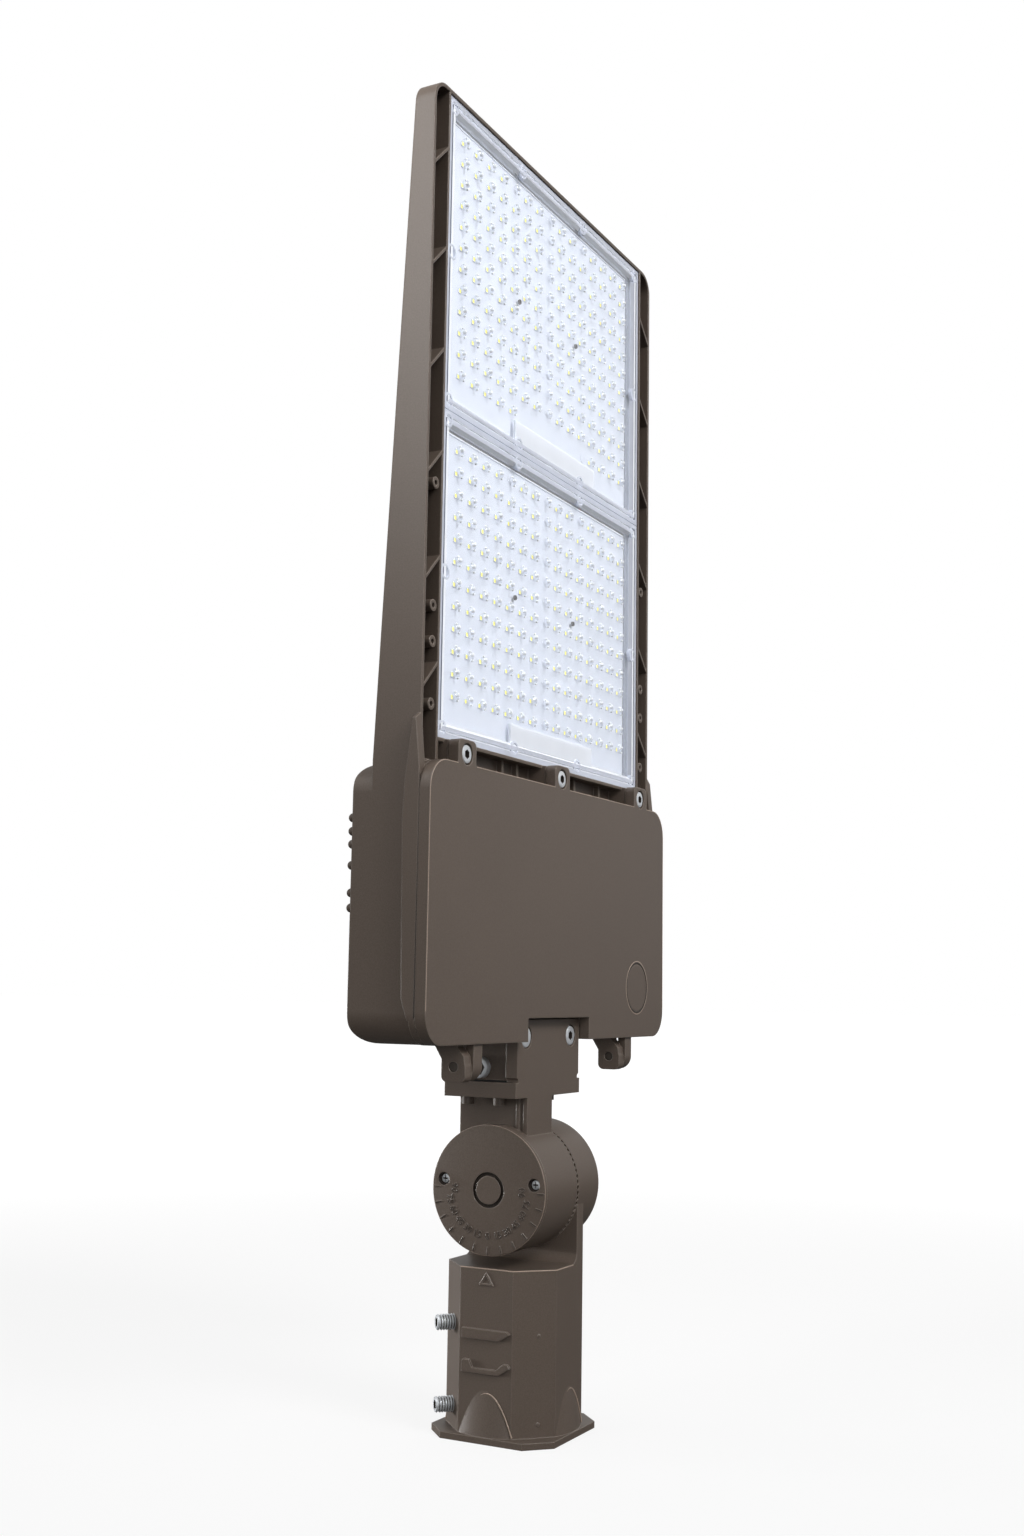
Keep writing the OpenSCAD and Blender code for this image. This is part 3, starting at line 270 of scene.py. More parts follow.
def clearPlastic(kind):
    values = clearKinds[kind]
    shader = Shader("clear" + kind.capitalize())
    cloud = shader.noise(clear["cloudScale"], 3.0)
    least, spread = clear["milkRoughness"]
    shader.set(colour=shader.mixed(cloud, values["dark"], values["light"]),
               roughness=least + cloud * spread, specular=0.0)
    milky = Wire(shader, shader.surface.outputs[0])
    through = shader.add("ShaderNodeBsdfTransparent", None, {"Color": opaque(clear["tint"])})
    grazing = shader.add("ShaderNodeLayerWeight", None, {"Blend": clear["grazing"]}, "Facing")
    front = 1.0 - shader.add("ShaderNodeNewGeometry", output="Backfacing")
    cover = (values["haze"] + grazing * values["wall"]) * front
    body = shader.add("ShaderNodeMixShader", None, {0: cover, 1: through, 2: milky})
    shine = shader.add("ShaderNodeBsdfAnisotropic", None,
                       {"Color": (1, 1, 1, 1), "Roughness": clear["gloss"]})
    fresnel = shader.add("ShaderNodeFresnel", None, {"IOR": clear["ior"]})
    shader.shown(shader.add("ShaderNodeMixShader", None, {0: fresnel * front, 1: body, 2: shine}))
    return shader.material


finishes = {
    "bronze": powderCoat("bronzeCoat"),
    "bronzeFine": powderCoat("bronzeFine", radius=0.0009),
    # the same coat darkened: painted shade in grooves and gaps
    "bronzePaintedShade": powderCoat("bronzePaintedShade", radius=0.0003, shade=0.35),  # grooves and gaps
    # the same coat darkened on ticks and numbers: painted shade
    "bronzeShadedMark": powderCoat("bronzeShadedMark", radius=0.0002, shade=0.45),  # ticks and numbers
    # the same coat brightened: painted highlight on lit edges
    "bronzePaintedHighlight": powderCoat("bronzePaintedHighlight", radius=0.0004, shade=3.6),  # lit edges
    "zinc": bareMetal("zincPlate"),
    "dark": bareMetal("darkSteel"),
    "lens": clearPlastic("field"),
    "rim": clearPlastic("rim"),
    "rimPaintedLight": clearPlastic("rimPaintedLight"),
    "groove": clearPlastic("groove"),
    "cover": clearPlastic("cover"),
    "optic": clearPlastic("optic"),
    # opaque white on the optics' lobes: painted highlights
    "glint": plainFinish("opticPaintedHighlight", lin(246, 248, 252), lin(252, 253, 255), 0.15, 300.0),
    "rubber": plainFinish("sealRubber", lin(22, 22, 22), lin(36, 36, 36), 0.7, 500.0),
    "silicone": plainFinish("lensGasket", lin(196, 200, 208), lin(212, 216, 224), 0.5, 300.0),
    "board": plainFinish("boardMask", lin(238, 241, 247), lin(248, 250, 254), 0.35, 90.0),
    # the phosphor glows a little as painted light; the lamps are not lit
    "phosphor": plainFinish("lampPhosphorGlow", lin(250, 238, 70), lin(255, 248, 110), 0.4, 900.0,
                            glow=(1.0, 0.86, 0.16, 1.0), glowStrength=0.5),
    "driver": plainFinish("driverCase", lin(168, 170, 173), lin(196, 198, 200), 0.4, 120.0,
                          metallic=0.8),
    "black": plainFinish("blackCase", lin(24, 24, 26), lin(38, 38, 40), 0.45, 300.0),
    "cream": plainFinish("blockPlastic", lin(222, 220, 208), lin(236, 234, 224), 0.45, 200.0),
    "redLead": plainFinish("redLead", lin(140, 22, 22), lin(168, 34, 32), 0.45, 300.0),
    "earth": plainFinish("earthGreen", lin(40, 110, 56), lin(58, 132, 72), 0.4, 300.0,
                         metallic=0.6),
    "nylon": plainFinish("retainerNylon", lin(214, 212, 200), lin(228, 226, 216), 0.5, 300.0),
}
nodeFinish = {
    "bronze": ("dial_cap", "housing", "door"),
    "bronzeFine": ("socket_casting", "arm_casting", "ledge_bolts"),
    "zinc": ("set_bolt_upper", "set_bolt_lower", "pivot_bolt", "pivot_nut", "pivot_washer",
             "dial_cap_screws", "tongue_bolts", "boss_side_bolt", "lens_screws", "driver_screws",
             "surge_protector_screws", "terminal_block_screws", "door_screw_left",
             "door_screw_middle", "door_screw_right"),
    "dark": ("hinge_pins",),
    "lens": ("upper_lens", "lower_lens"),
    "rubber": ("arm_gasket", "inlet_grommet", "board_grommet", "door_gasket"),
    "silicone": ("upper_lens_gasket", "lower_lens_gasket"),
    "board": ("upper_led_board", "lower_led_board"),
    "phosphor": ("upper_leds", "lower_leds"),
    "driver": ("driver",),
    "black": ("surge_protector", "supply_leads"),
    "cream": ("terminal_block",),
    "redLead": ("surge_leads", "output_leads"),
    "earth": ("ground_screw",),
    "nylon": ("screw_retainers",),
}


def giveSlots(piece, *names):
    piece.data.materials.clear()
    for name in names:
        piece.data.materials.append(finishes[name])


for finish, names in nodeFinish.items():
    for name in names:
        giveSlots(nodes[name], finish)
print("materials set")


# floor: dark paint that keeps the shadow, under a glow that turns to white with distance

floor = {"size": 40.0, "shadowPart": 0.12, "nearGlow": 0.84, "farGlow": 1.0, "near": 0.5,
         "far": 2.2}


def seenDirectly(shader):
    path = shader.tree.nodes.new("ShaderNodeLightPath")
    rays = [Wire(shader, path.outputs[name]) for name in ("Is Camera Ray", "Is Transmission Ray")]
    return (rays[0] + rays[1]).clamped()


def makeFloor():
    bpy.ops.object.select_all(action="DESELECT")
    bpy.ops.mesh.primitive_plane_add(size=floor["size"])
    plane = bpy.context.object
    plane.name = "floor"
    shader = Shader("floorPaint")
    shader.set(colour=opaque((floor["shadowPart"],) * 3), roughness=0.9, specular=0.0)
    lit = Wire(shader, shader.surface.outputs[0])
    reach = shader.add("ShaderNodeVectorMath", {"operation": "LENGTH"}, {0: shader.place()},
                       "Value")
    away = shader.add("ShaderNodeMapRange", {"interpolation_type": "SMOOTHSTEP"},
                      {0: reach, 1: floor["near"], 2: floor["far"]})
    near, far = [shader.add("ShaderNodeEmission", None, {"Strength": floor[glow]})
                 for glow in ("nearGlow", "farGlow")]
    bright = shader.add("ShaderNodeMixShader", None, {0: away, 1: near, 2: far})
    both = shader.add("ShaderNodeAddShader", None, {0: lit, 1: bright})
    shader.shown(shader.add("ShaderNodeMixShader", None,
                            {0: seenDirectly(shader), 1: lit, 2: both}))
    plane.data.materials.append(shader.material)


# world: white where it is seen, and a plainer light on the object

worldLight = {"onObject": 0.61, "seen": 1.0}


def makeWorld():
    world = bpy.data.worlds.new("world")
    world.use_nodes = True
    bpy.context.scene.world = world
    tree = world.node_tree
    path = tree.nodes.new("ShaderNodeLightPath")
    background = tree.nodes["Background"]
    background.inputs["Color"].default_value = (1, 1, 1, 1)
    seen = tree.nodes.new("ShaderNodeMath")
    seen.operation = "MAXIMUM"
    tree.links.new(path.outputs["Is Camera Ray"], seen.inputs[0])
    tree.links.new(path.outputs["Is Transmission Ray"], seen.inputs[1])
    mix = tree.nodes.new("ShaderNodeMix")
    mix.inputs[2].default_value = worldLight["onObject"]
    mix.inputs[3].default_value = worldLight["seen"]
    tree.links.new(seen.outputs[0], mix.inputs[0])
    tree.links.new(mix.outputs[0], background.inputs["Strength"])


# lamps: metres, watts, and degrees of spread; without an aim they point at the middle

studioLamps = {
    "leftHigh": {"place": (-1.3, 0.45, 1.1), "size": 0.4, "power": 1.25, "spread": 50.0,
                 "aim": (-0.16, 0.0, 0.95)},
    "leftTop": {"place": (-1.0, 0.5, 1.5), "size": 0.5, "power": 0.6, "spread": 50.0,
                "aim": (-0.16, 0.0, 0.8)},
    "leftBack": {"place": (-0.35, 1.6, 0.12), "size": 0.3, "power": 0.35, "spread": 18.0,
                 "aim": (0.0, 0.0, 0.04)},
    "leftLow": {"place": (-1.3, -0.6, 0.25), "size": 0.5, "power": 0.15, "spread": 40.0,
                "aim": (0.0, 0.0, 0.1)},
    "frontTight": {"place": (-0.4, -1.6, 1.7), "size": 0.8, "power": 3.1, "spread": 50.0,
                   "aim": (0.0, 0.0, 0.66)},
    "frontWide": {"place": (-0.9, -2.5, 1.9), "size": 1.8, "power": 11.5},
    "rightHigh": {"place": (2.2, 0.35, 1.6), "size": 1.0, "power": 4.0},
}
middleAim = (0.0, 0.0, 0.42)
openSpread = 180.0


def makeLamp(name, values):
    data = bpy.data.lights.new(name, "AREA")
    data.size = values["size"]
    data.energy = values["power"]
    data.spread = math.radians(values.get("spread", openSpread))
    lamp = bpy.data.objects.new(name, data)
    bpy.context.scene.collection.objects.link(lamp)
    lamp.location = values["place"]
    aim = Vector(values.get("aim", middleAim))
    lamp.rotation_euler = (aim - lamp.location).to_track_quat("-Z", "Y").to_euler()


makeFloor()
makeWorld()
for name, values in studioLamps.items():
    makeLamp(name, values)
print("studio lit")


# modelling by hand: a primitive, edit-mode steps, then its place goes into the mesh; sizes in mm

mm = 0.001


def pickOnly(piece):
    bpy.ops.object.select_all(action="DESELECT")
    piece.select_set(True)
    bpy.context.view_layer.objects.active = piece


def addShape(name, adder, **values):
    bpy.ops.object.select_all(action="DESELECT")
    adder(**values)
    piece = bpy.context.object
    piece.name = name
    return piece


def settle(piece):
    pickOnly(piece)
    bpy.ops.object.transform_apply(location=True, rotation=True, scale=True)


def addBlock(name, x, y, z):
    middle = [mm * (low + high) / 2 for low, high in (x, y, z)]
    piece = addShape(name, bpy.ops.mesh.primitive_cube_add, size=1, location=middle)
    piece.scale = [mm * (high - low) for low, high in (x, y, z)]
    settle(piece)
    return piece


def addRod(name, sides, radius, low, high):
    piece = addShape(name, bpy.ops.mesh.primitive_cylinder_add, vertices=sides, radius=radius * mm,
                     depth=(high - low) * mm, location=(0, 0, (high + low) / 2 * mm))
    settle(piece)
    return piece


def pickFaces(piece, wanted):
    mesh = bmesh.from_edit_mesh(piece.data)
    for face in mesh.faces:
        face.select = wanted(face.normal)
    mesh.select_flush_mode()
    bmesh.update_edit_mesh(piece.data)


def editing(piece, wanted):
    pickOnly(piece)
    bpy.ops.object.mode_set(mode="EDIT")
    bpy.ops.mesh.select_mode(type="FACE")
    bpy.ops.mesh.select_all(action="DESELECT")
    pickFaces(piece, wanted)


def edited():
    bpy.ops.object.mode_set(mode="OBJECT")


def frontFaces(normal):
    return normal.y < -0.9


def backFaces(normal):
    return normal.y > 0.9


def topFaces(normal):
    return normal.z > 0.9


def bottomFaces(normal):
    return normal.z < -0.9


def insetSteps(steps):
    for thickness, depth in steps:
        bpy.ops.mesh.inset(thickness=thickness * mm, depth=depth * mm, use_boundary=True)


def softenEnds(piece, width, segments=2, faces=topFaces):
    editing(piece, faces)
    bpy.ops.mesh.select_mode(type="EDGE")
    bpy.ops.mesh.region_to_loop()
    bpy.ops.mesh.bevel(offset=width * mm, segments=segments, affect="EDGES")
    edited()


def cutBy(piece, cutter):
    pickOnly(piece)
    cut = piece.modifiers.new("cut", "BOOLEAN")
    cut.operation = "DIFFERENCE"
    cut.solver = "EXACT"
    cut.object = cutter
    bpy.ops.object.modifier_apply(modifier="cut")
    bpy.data.objects.remove(cutter)


def shifted(piece, x=0.0, y=0.0, z=0.0):
    piece.data.transform(Matrix.Translation(Vector((x, y, z)) * mm))


def turned(piece, turn, x=0.0, y=0.0, z=0.0):
    piece.data.transform(Matrix.LocRotScale(Vector((x, y, z)) * mm, turn, None))


def copied(piece, x=0.0, y=0.0, z=0.0):
    twin = piece.copy()
    twin.data = piece.data.copy()
    bpy.context.scene.collection.objects.link(twin)
    shifted(twin, x, y, z)
    return twin


def joined(name, pieces):
    bpy.ops.object.select_all(action="DESELECT")
    for piece in pieces:
        piece.select_set(True)
    bpy.context.view_layer.objects.active = pieces[0]
    bpy.ops.object.join()
    bpy.context.object.name = name
    return bpy.context.object


def smoothed(piece, angle):
    pickOnly(piece)
    bpy.ops.object.shade_smooth_by_angle(angle=math.radians(angle))


def placed(piece, body, slotName, *replacedNodes):
    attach(piece, body)
    if replacedNodes:
        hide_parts(*replacedNodes)


# turns that take a shape made along +Z to the face it points out of

turns = {
    "front": Matrix.Rotation(math.radians(90), 3, "X").to_quaternion(),
    "left": Matrix.Rotation(math.radians(-90), 3, "Y").to_quaternion(),
    "chamfer": (Matrix.Rotation(math.radians(135), 3, "Z")
                @ Matrix.Rotation(math.radians(90), 3, "Y")).to_quaternion(),
}


# lens modules: a rimmed plate with an optic over each lamp; steps are an inset's width and depth,
# and bands say how far in from the edge each kind of plastic reaches

lens = {
    "half": 143.5, "height": 199.5, "front": -18.0, "back": -12.6, "fieldFront": -15.6,
    "tops": {"upper_lens": 820.0, "lower_lens": 620.0},
    "rimSteps": ((3.3, 0), (0.3, -1.1), (0.8, 0), (0.3, 1.1), (2.5, 0), (0.3, -0.2), (1.8, -2.2)),
    "backSteps": ((11.5, 0), (0.05, -1.4)), "wideFace": 0.04,  # square metres
    # the grey groove kind is painted shade, the near-white kind painted light
    "sideBands": ((3.3, "rim"), (4.7, "groove"), (7.2, "rimPaintedLight"), (7.5, "groove"), (9.3, "rim")),
    "endBands": ((3.3, "rim"), (4.7, "rimPaintedLight"), (7.2, "rim"), (9.3, "rimPaintedLight")),
    "columns": 15, "rows": 12, "pitchX": 17.043, "pitchZ": 13.827, "rowTop": 20.0,
    "middleColumn": 7, "coveredColumns": range(5, 11),  # covered in the upper module's last row
}
opticDome = {"sides": 12, "radius": 3.1, "steps": ((0.2, 1.1), (0.6, 0.9), (1.0, 0.5)),
             "lobeSides": 6, "lobeSteps": ((0.15, 0.7), (0.4, 0.3)),
             "lobes": ((2.4, 1.5, 1.5, 1.9), (2.9, -2.0, 0.9, 1.3), (0.4, 3.1, 0.8, 1.2))}
rimBoss = {"sides": 24, "radius": 5.0, "depth": 2.6, "sunk": 1.0,
           "steps": ((0.5, 0.25), (0.9, 0), (0.2, -2.3)),
           "x": (137.0, 45.97), "rows": (5.8, 193.8), "sideRow": 99.5}
blankCover = {"x": (-50.0, 70.0), "rise": (7.5, 21.5), "front": -16.9, "sunk": 0.5,
              "steps": ((1.2, 0.35),)}


def makeDome(name, sides, radius, steps, finish):
    dome = addShape(name, bpy.ops.mesh.primitive_circle_add, vertices=sides, radius=radius * mm,
                    fill_type="NGON")
    turned(dome, turns["front"])
    editing(dome, lambda normal: True)
    insetSteps(steps)
    edited()
    giveSlots(dome, finish)
    smoothed(dome, 80)
    return dome


# a lobe is x, z, radius and height, opaque white as a painted highlight on its optic; its steps are
# parts of the radius and of the height

def makeOptic():
    domes = [makeDome("optic", opticDome["sides"], opticDome["radius"], opticDome["steps"],
                      "optic")]
    for x, z, radius, height in opticDome["lobes"]:
        steps = [(radius * across, height * up) for across, up in opticDome["lobeSteps"]]
        lobe = makeDome("lobe", opticDome["lobeSides"], radius, steps, "glint")
        shifted(lobe, x, 0, z)
        domes.append(lobe)
    return joined("optic", domes)


def makeBoss():
    boss = addRod("boss", rimBoss["sides"], rimBoss["radius"], -rimBoss["depth"] / 2,
                  rimBoss["depth"] / 2)
    turned(boss, turns["front"])
    editing(boss, frontFaces)
    insetSteps(rimBoss["steps"])
    edited()
    giveSlots(boss, "rim")
    smoothed(boss, 40)
    return boss


def rimScrews():
    spots = [(side * x, row) for side in (-1, 1) for x in rimBoss["x"] for row in rimBoss["rows"]]
    return spots + [(side * rimBoss["x"][0], rimBoss["sideRow"]) for side in (-1, 1)]


def opticSpots(name):
    for row in range(lens["rows"]):
        for column in range(lens["columns"]):
            lastUpper = name == "upper_lens" and row == lens["rows"] - 1
            if not (lastUpper and column in lens["coveredColumns"]):
                yield row, column


def spotPlace(row, column, top):
    return ((column - lens["middleColumn"]) * lens["pitchX"],
            top - lens["rowTop"] - row * lens["pitchZ"])


def dressPlate(plate, low, top):
    kinds = ("rim", "lens", "rimPaintedLight", "groove")
    giveSlots(plate, *kinds)
    for face in plate.data.polygons:
        x, y, z = face.center / mm
        side, end = lens["half"] - abs(x), min(top - z, z - low)
        inward = min(side, end)
        if abs(face.normal.y) > 0.9 and face.area > lens["wideFace"]:
            face.material_index = kinds.index("lens")
        elif inward > 0.01 and y < lens["back"] - 0.5:  # the outer walls stay rim
            bands = lens["sideBands"] if side < end else lens["endBands"]
            band = next((kind for limit, kind in bands if inward < limit), "rim")
            face.material_index = kinds.index(band)


def makeCover(low):
    cover = addBlock("cover", blankCover["x"],
                     (blankCover["front"], lens["fieldFront"] + blankCover["sunk"]),
                     [low + rise for rise in blankCover["rise"]])
    editing(cover, frontFaces)
    insetSteps(blankCover["steps"])
    edited()
    giveSlots(cover, "cover")
    return cover


def makeLens(name, top, optic, boss):
    low = top - lens["height"]
    plate = addBlock(name, (-lens["half"], lens["half"]), (lens["front"], lens["back"]), (low, top))
    editing(plate, frontFaces)
    insetSteps(lens["rimSteps"])
    pickFaces(plate, backFaces)
    insetSteps(lens["backSteps"])
    edited()
    dressPlate(plate, low, top)
    parts = [plate, makeCover(low)]
    for x, row in rimScrews():
        parts.append(copied(boss, x, lens["fieldFront"] - rimBoss["sunk"], top - row))
    for row, column in opticSpots(name):
        x, z = spotPlace(row, column, top)
        parts.append(copied(optic, x, lens["fieldFront"], z))
    placed(joined(name + "_plate", parts), "head", "lens_plastic", name)


optic = makeOptic()
boss = makeBoss()
for name, top in lens["tops"].items():
    makeLens(name, top, optic, boss)
for spare in (optic, boss):
    bpy.data.objects.remove(spare)
print("lens modules made")


# lamps: a white package with a yellow chip on it, at every optic but those of the middle column
# and the two bare places, each a row and a column

ledPackage = {"side": 3.0, "height": 0.7, "back": -13.1, "steps": ((0.25, 0), (0.1, -0.05)),
              "bare": ((0, 4), (0, 10))}


def makePackage():
    half = ledPackage["side"] / 2
    package = addBlock("package", (-half, half), (-ledPackage["height"], 0), (-half, half))
    editing(package, frontFaces)
    insetSteps(ledPackage["steps"])
    edited()
    giveSlots(package, "board", "phosphor")
    for face in package.data.polygons:
        centred = math.hypot(face.center.x, face.center.z) / mm < 0.1
        face.material_index = int(centred and face.normal.y < -0.9)
    return package


def makeLamps(name, top):
    package = makePackage()
    copies = []
    for spot in opticSpots(name):
        if spot[1] != lens["middleColumn"] and spot not in ledPackage["bare"]:
            x, z = spotPlace(*spot, top)
            copies.append(copied(package, x, ledPackage["back"], z))
    bpy.data.objects.remove(package)
    placed(joined(name.replace("lens", "lamps"), copies), "head", "lamp_phosphor",
           name.replace("lens", "leds"))


for name, top in lens["tops"].items():
    makeLamps(name, top)
print("lamps made")


# socket screws: a round head with a six-sided socket, and a shank with a softened end

socketSides = {"head": 40, "shank": 24, "key": 6}
captiveScrew = {"head": 5.6, "headHeight": 4.2, "shank": 2.4, "length": 12.0, "key": 2.9,
                "keyDepth": 2.6, "soft": 0.7, "collar": 0.5, "proud": 0.35, "rise": 411.5,
                "x": {"door_screw_left": -126.5, "door_screw_middle": 0.0,
                      "door_screw_right": 126.5}}
tongueBolt = {"head": 6.4, "headHeight": 4.5, "shank": 3.9, "length": 20.0, "key": 3.0,
              "keyDepth": 2.6, "soft": 0.6, "collar": 0.5, "front": -21.8, "rise": 245.0,
              "x": (-31.5, 31.5)}
sideBolt = {"head": 6.9, "headHeight": 5.0, "shank": 3.9, "length": 12.0, "key": 5.2,
            "keyDepth": 3.4, "soft": 0.7, "collar": 0.6, "place": (-46.1, 5.0, 226.0)}
doorFront = -29.6


def makeSocketScrew(name, shape):
    head = addRod(name, socketSides["head"], shape["head"], -shape["headHeight"], 0)
    softenEnds(head, shape["soft"])
    cutBy(head, addRod("key", socketSides["key"], shape["key"], -shape["keyDepth"], 1))
    shank = addRod("shank", socketSides["shank"], shape["shank"],
                   -shape["headHeight"] - shape["length"], -shape["headHeight"])
    softenEnds(shank, shape["collar"], 1, bottomFaces)
    screw = joined(name, [head, shank])
    smoothed(screw, 40)
    giveSlots(screw, "zinc", "dark")
    for face in screw.data.polygons:
        x, y, z = face.center / mm
        if math.hypot(x, y) < shape["key"] and -shape["keyDepth"] - 0.1 < z < -0.1:
            face.material_index = 1  # the socket is painted dark inside: painted shade
    return screw


for name, x in captiveScrew["x"].items():
    screw = makeSocketScrew(name + "_cap", captiveScrew)
    turned(screw, turns["front"], x, doorFront + captiveScrew["proud"], captiveScrew["rise"])
    placed(screw, name.replace("door_", ""), "zinc_bolt", name)

tonguePair = [makeSocketScrew("tongueBolt", tongueBolt) for x in tongueBolt["x"]]
for bolt, x in zip(tonguePair, tongueBolt["x"]):
    turned(bolt, turns["front"], x, tongueBolt["front"], tongueBolt["rise"])
placed(joined("tongue_bolts_cap", tonguePair), "head", "zinc_bolt", "tongue_bolts")

bossBolt = makeSocketScrew("boss_side_bolt_cap", sideBolt)
turned(bossBolt, turns["left"], *sideBolt["place"])
placed(bossBolt, "head", "zinc_bolt", "boss_side_bolt")
print("socket screws made")


# set bolts: threaded by pushing the end of a rod out, wider and narrower in turn

setBolt = {"sides": 32, "radius": 4.9, "root": 4.1, "pitch": 1.7, "flank": 0.4, "tip": 31.6,
           "neck": 1.0, "end": 51.5, "chamfer": 0.8, "endScale": 0.88, "key": 2.9,
           "keyDepth": 5.0, "heights": {"set_bolt_upper": 67.0, "set_bolt_lower": 17.5}}


def pushEnd(piece, rise, scale):
    bpy.ops.mesh.extrude_region_move(TRANSFORM_OT_translate={"value": (0, 0, rise * mm)})
    end = max(vertex.co.z for vertex in bmesh.from_edit_mesh(piece.data).verts)
    bpy.ops.transform.resize(value=(scale, scale, 1), center_override=(0, 0, end))


def makeSetBolt(node, height):
    grow = setBolt["radius"] / setBolt["root"]
    flank, end = setBolt["flank"], setBolt["end"]
    threadEnd = end - setBolt["chamfer"]
    reach = setBolt["tip"] + setBolt["neck"]
    bolt = addRod(node + "_thread", setBolt["sides"], setBolt["root"], setBolt["tip"], reach)
    editing(bolt, topFaces)
    while reach + setBolt["pitch"] < threadEnd:
        pushEnd(bolt, flank, grow)
        pushEnd(bolt, flank, 1.0)
        pushEnd(bolt, flank, 1 / grow)
        pushEnd(bolt, setBolt["pitch"] - 3 * flank, 1.0)
        reach += setBolt["pitch"]
    for scale in (grow, setBolt["endScale"]):
        pushEnd(bolt, (end - reach) / 2, scale)
    edited()
    cutBy(bolt, addRod("key", socketSides["key"], setBolt["key"], end - setBolt["keyDepth"],
                       end + 1))
    smoothed(bolt, 25)
    giveSlots(bolt, "zinc", "dark")
    for face in bolt.data.polygons:
        x, y, z = face.center / mm
        if math.hypot(x, y) < setBolt["root"] + 0.1 and z < threadEnd:
            face.material_index = 1  # roots and socket painted dark: painted shade
    turned(bolt, turns["chamfer"], 0, 0, height)
    placed(bolt, node.replace("set_", ""), "zinc_bolt", node)


for node, height in setBolt["heights"].items():
    makeSetBolt(node, height)
print("set bolts made")


# cross screws: a small head cut by two slots

dialScrew = {"sides": 32, "head": 2.9, "height": 1.6, "soft": 0.9, "slot": 0.5, "reach": 2.0,
             "depth": 1.2, "sunk": 1.9}
lensScrew = {"sides": 16, "head": 1.7, "height": 1.3, "soft": 0.5, "slot": 0.3, "reach": 1.1,
             "depth": 0.8, "rimRise": 0.4, "fieldRise": 0.05, "fieldRow": 5.4,
             "fieldColumns": (4.5, 9.5)}


def makeCrossScrew(name, shape):
    head = addRod(name, shape["sides"], shape["head"], -shape["height"], 0)
    softenEnds(head, shape["soft"])
    for along, across in ((shape["reach"], shape["slot"]), (shape["slot"], shape["reach"])):
        cutBy(head, addBlock("slot", (-along, along), (-across, across), (-shape["depth"], 1)))
    smoothed(head, 40)
    return head


# dial cap: a turned disc with a ring groove, two screw recesses, scale marks and numbers

dial = {
    "face": -38.3, "height": 150.5, "sides": 96, "radius": 40.0, "thick": 3.2, "lip": 0.5,
    "grooveOuter": 10.9, "grooveSteps": ((0.2, -2.2), (1.8, 0), (0.2, 2.2)),
    "recess": 4.0, "recessSides": 32, "recessDepth": 3.0, "screwY": 32.0, "screwRise": 5.0,
    "tick": (34.5, 39.0), "tickWidth": 0.7, "tickSunk": 0.2, "tickSteps": ((0.12, 0.05),),
    "proud": 0.35, "step": 15, "numberSize": 6.0, "numberRadius": 28.0, "endRadius": 24.0,
}


# ticks and numbers share the coat, darkened as painted shade
def makeTick(angle):
    low, high = dial["tick"]
    half = dial["tickWidth"] / 2
    tick = addBlock("tick", (-high, -low), (-half, half), (-dial["tickSunk"], dial["proud"]))
    editing(tick, topFaces)
    insetSteps(dial["tickSteps"])
    edited()
    giveSlots(tick, "bronzeShadedMark")
    tick.data.transform(Matrix.Rotation(math.radians(angle), 4, "Z"))
    return tick


def makeNumber(angle):
    words = addShape("number", bpy.ops.object.text_add)
    words.data.body = str(abs(angle))
    words.data.size = dial["numberSize"] * mm
    words.data.extrude = dial["proud"] / 2 * mm
    words.data.align_x = "CENTER"
    words.data.align_y = "CENTER"
    words.data.resolution_u = 3
    bpy.ops.object.convert(target="MESH")
    words = bpy.context.object
    radius = dial["endRadius"] if abs(angle) == 90 else dial["numberRadius"]
    turn = math.radians(angle)
    words.data.transform(Matrix.Rotation(math.radians(angle - 90), 4, "Z"))
    shifted(words, -radius * math.cos(turn), -radius * math.sin(turn), dial["proud"] / 2)
    giveSlots(words, "bronzeShadedMark")
    return words


# the groove and screw recesses get painted shade, the lip's bevel a painted highlight
def dressCap(cap):
    giveSlots(cap, "bronzeFine", "bronzePaintedShade", "bronzePaintedHighlight")
    for face in cap.data.polygons:
        x, y, z = face.center / mm
        out = math.hypot(x, y)
        fromScrew = math.hypot(x - dial["screwRise"], abs(y) - dial["screwY"])
        inHollow = out < dial["grooveOuter"] + 0.1 or fromScrew < dial["recess"] + 0.5
        if inHollow and -dial["thick"] + 0.05 < z < -0.1:
            face.material_index = 1
        elif out > dial["radius"] - dial["lip"] - 0.1 and 0.3 < face.normal.z < 0.95:
            face.material_index = 2


def makeDial():
    cap = addRod("dial_cap_disc", dial["sides"], dial["radius"], -dial["thick"], 0)
    softenEnds(cap, dial["lip"], 3)
    editing(cap, lambda normal: normal.z > 0.99)  # the flat alone, without its lip
    insetSteps(((dial["radius"] - dial["lip"] - dial["grooveOuter"], 0), *dial["grooveSteps"]))
    edited()
    for side in (-1, 1):
        cutter = addRod("recess", dial["recessSides"], dial["recess"], -dial["recessDepth"], 1)
        shifted(cutter, dial["screwRise"], side * dial["screwY"])
        cutBy(cap, cutter)
    smoothed(cap, 30)
    dressCap(cap)
    angles = range(-90, 91, dial["step"])
    cap = joined("dial_cap_disc", [cap, *[makeTick(angle) for angle in angles],
                                   *[makeNumber(angle) for angle in angles]])
    turned(cap, turns["left"], dial["face"], 0, dial["height"])
    placed(cap, "head", "bronze_cap", "dial_cap")


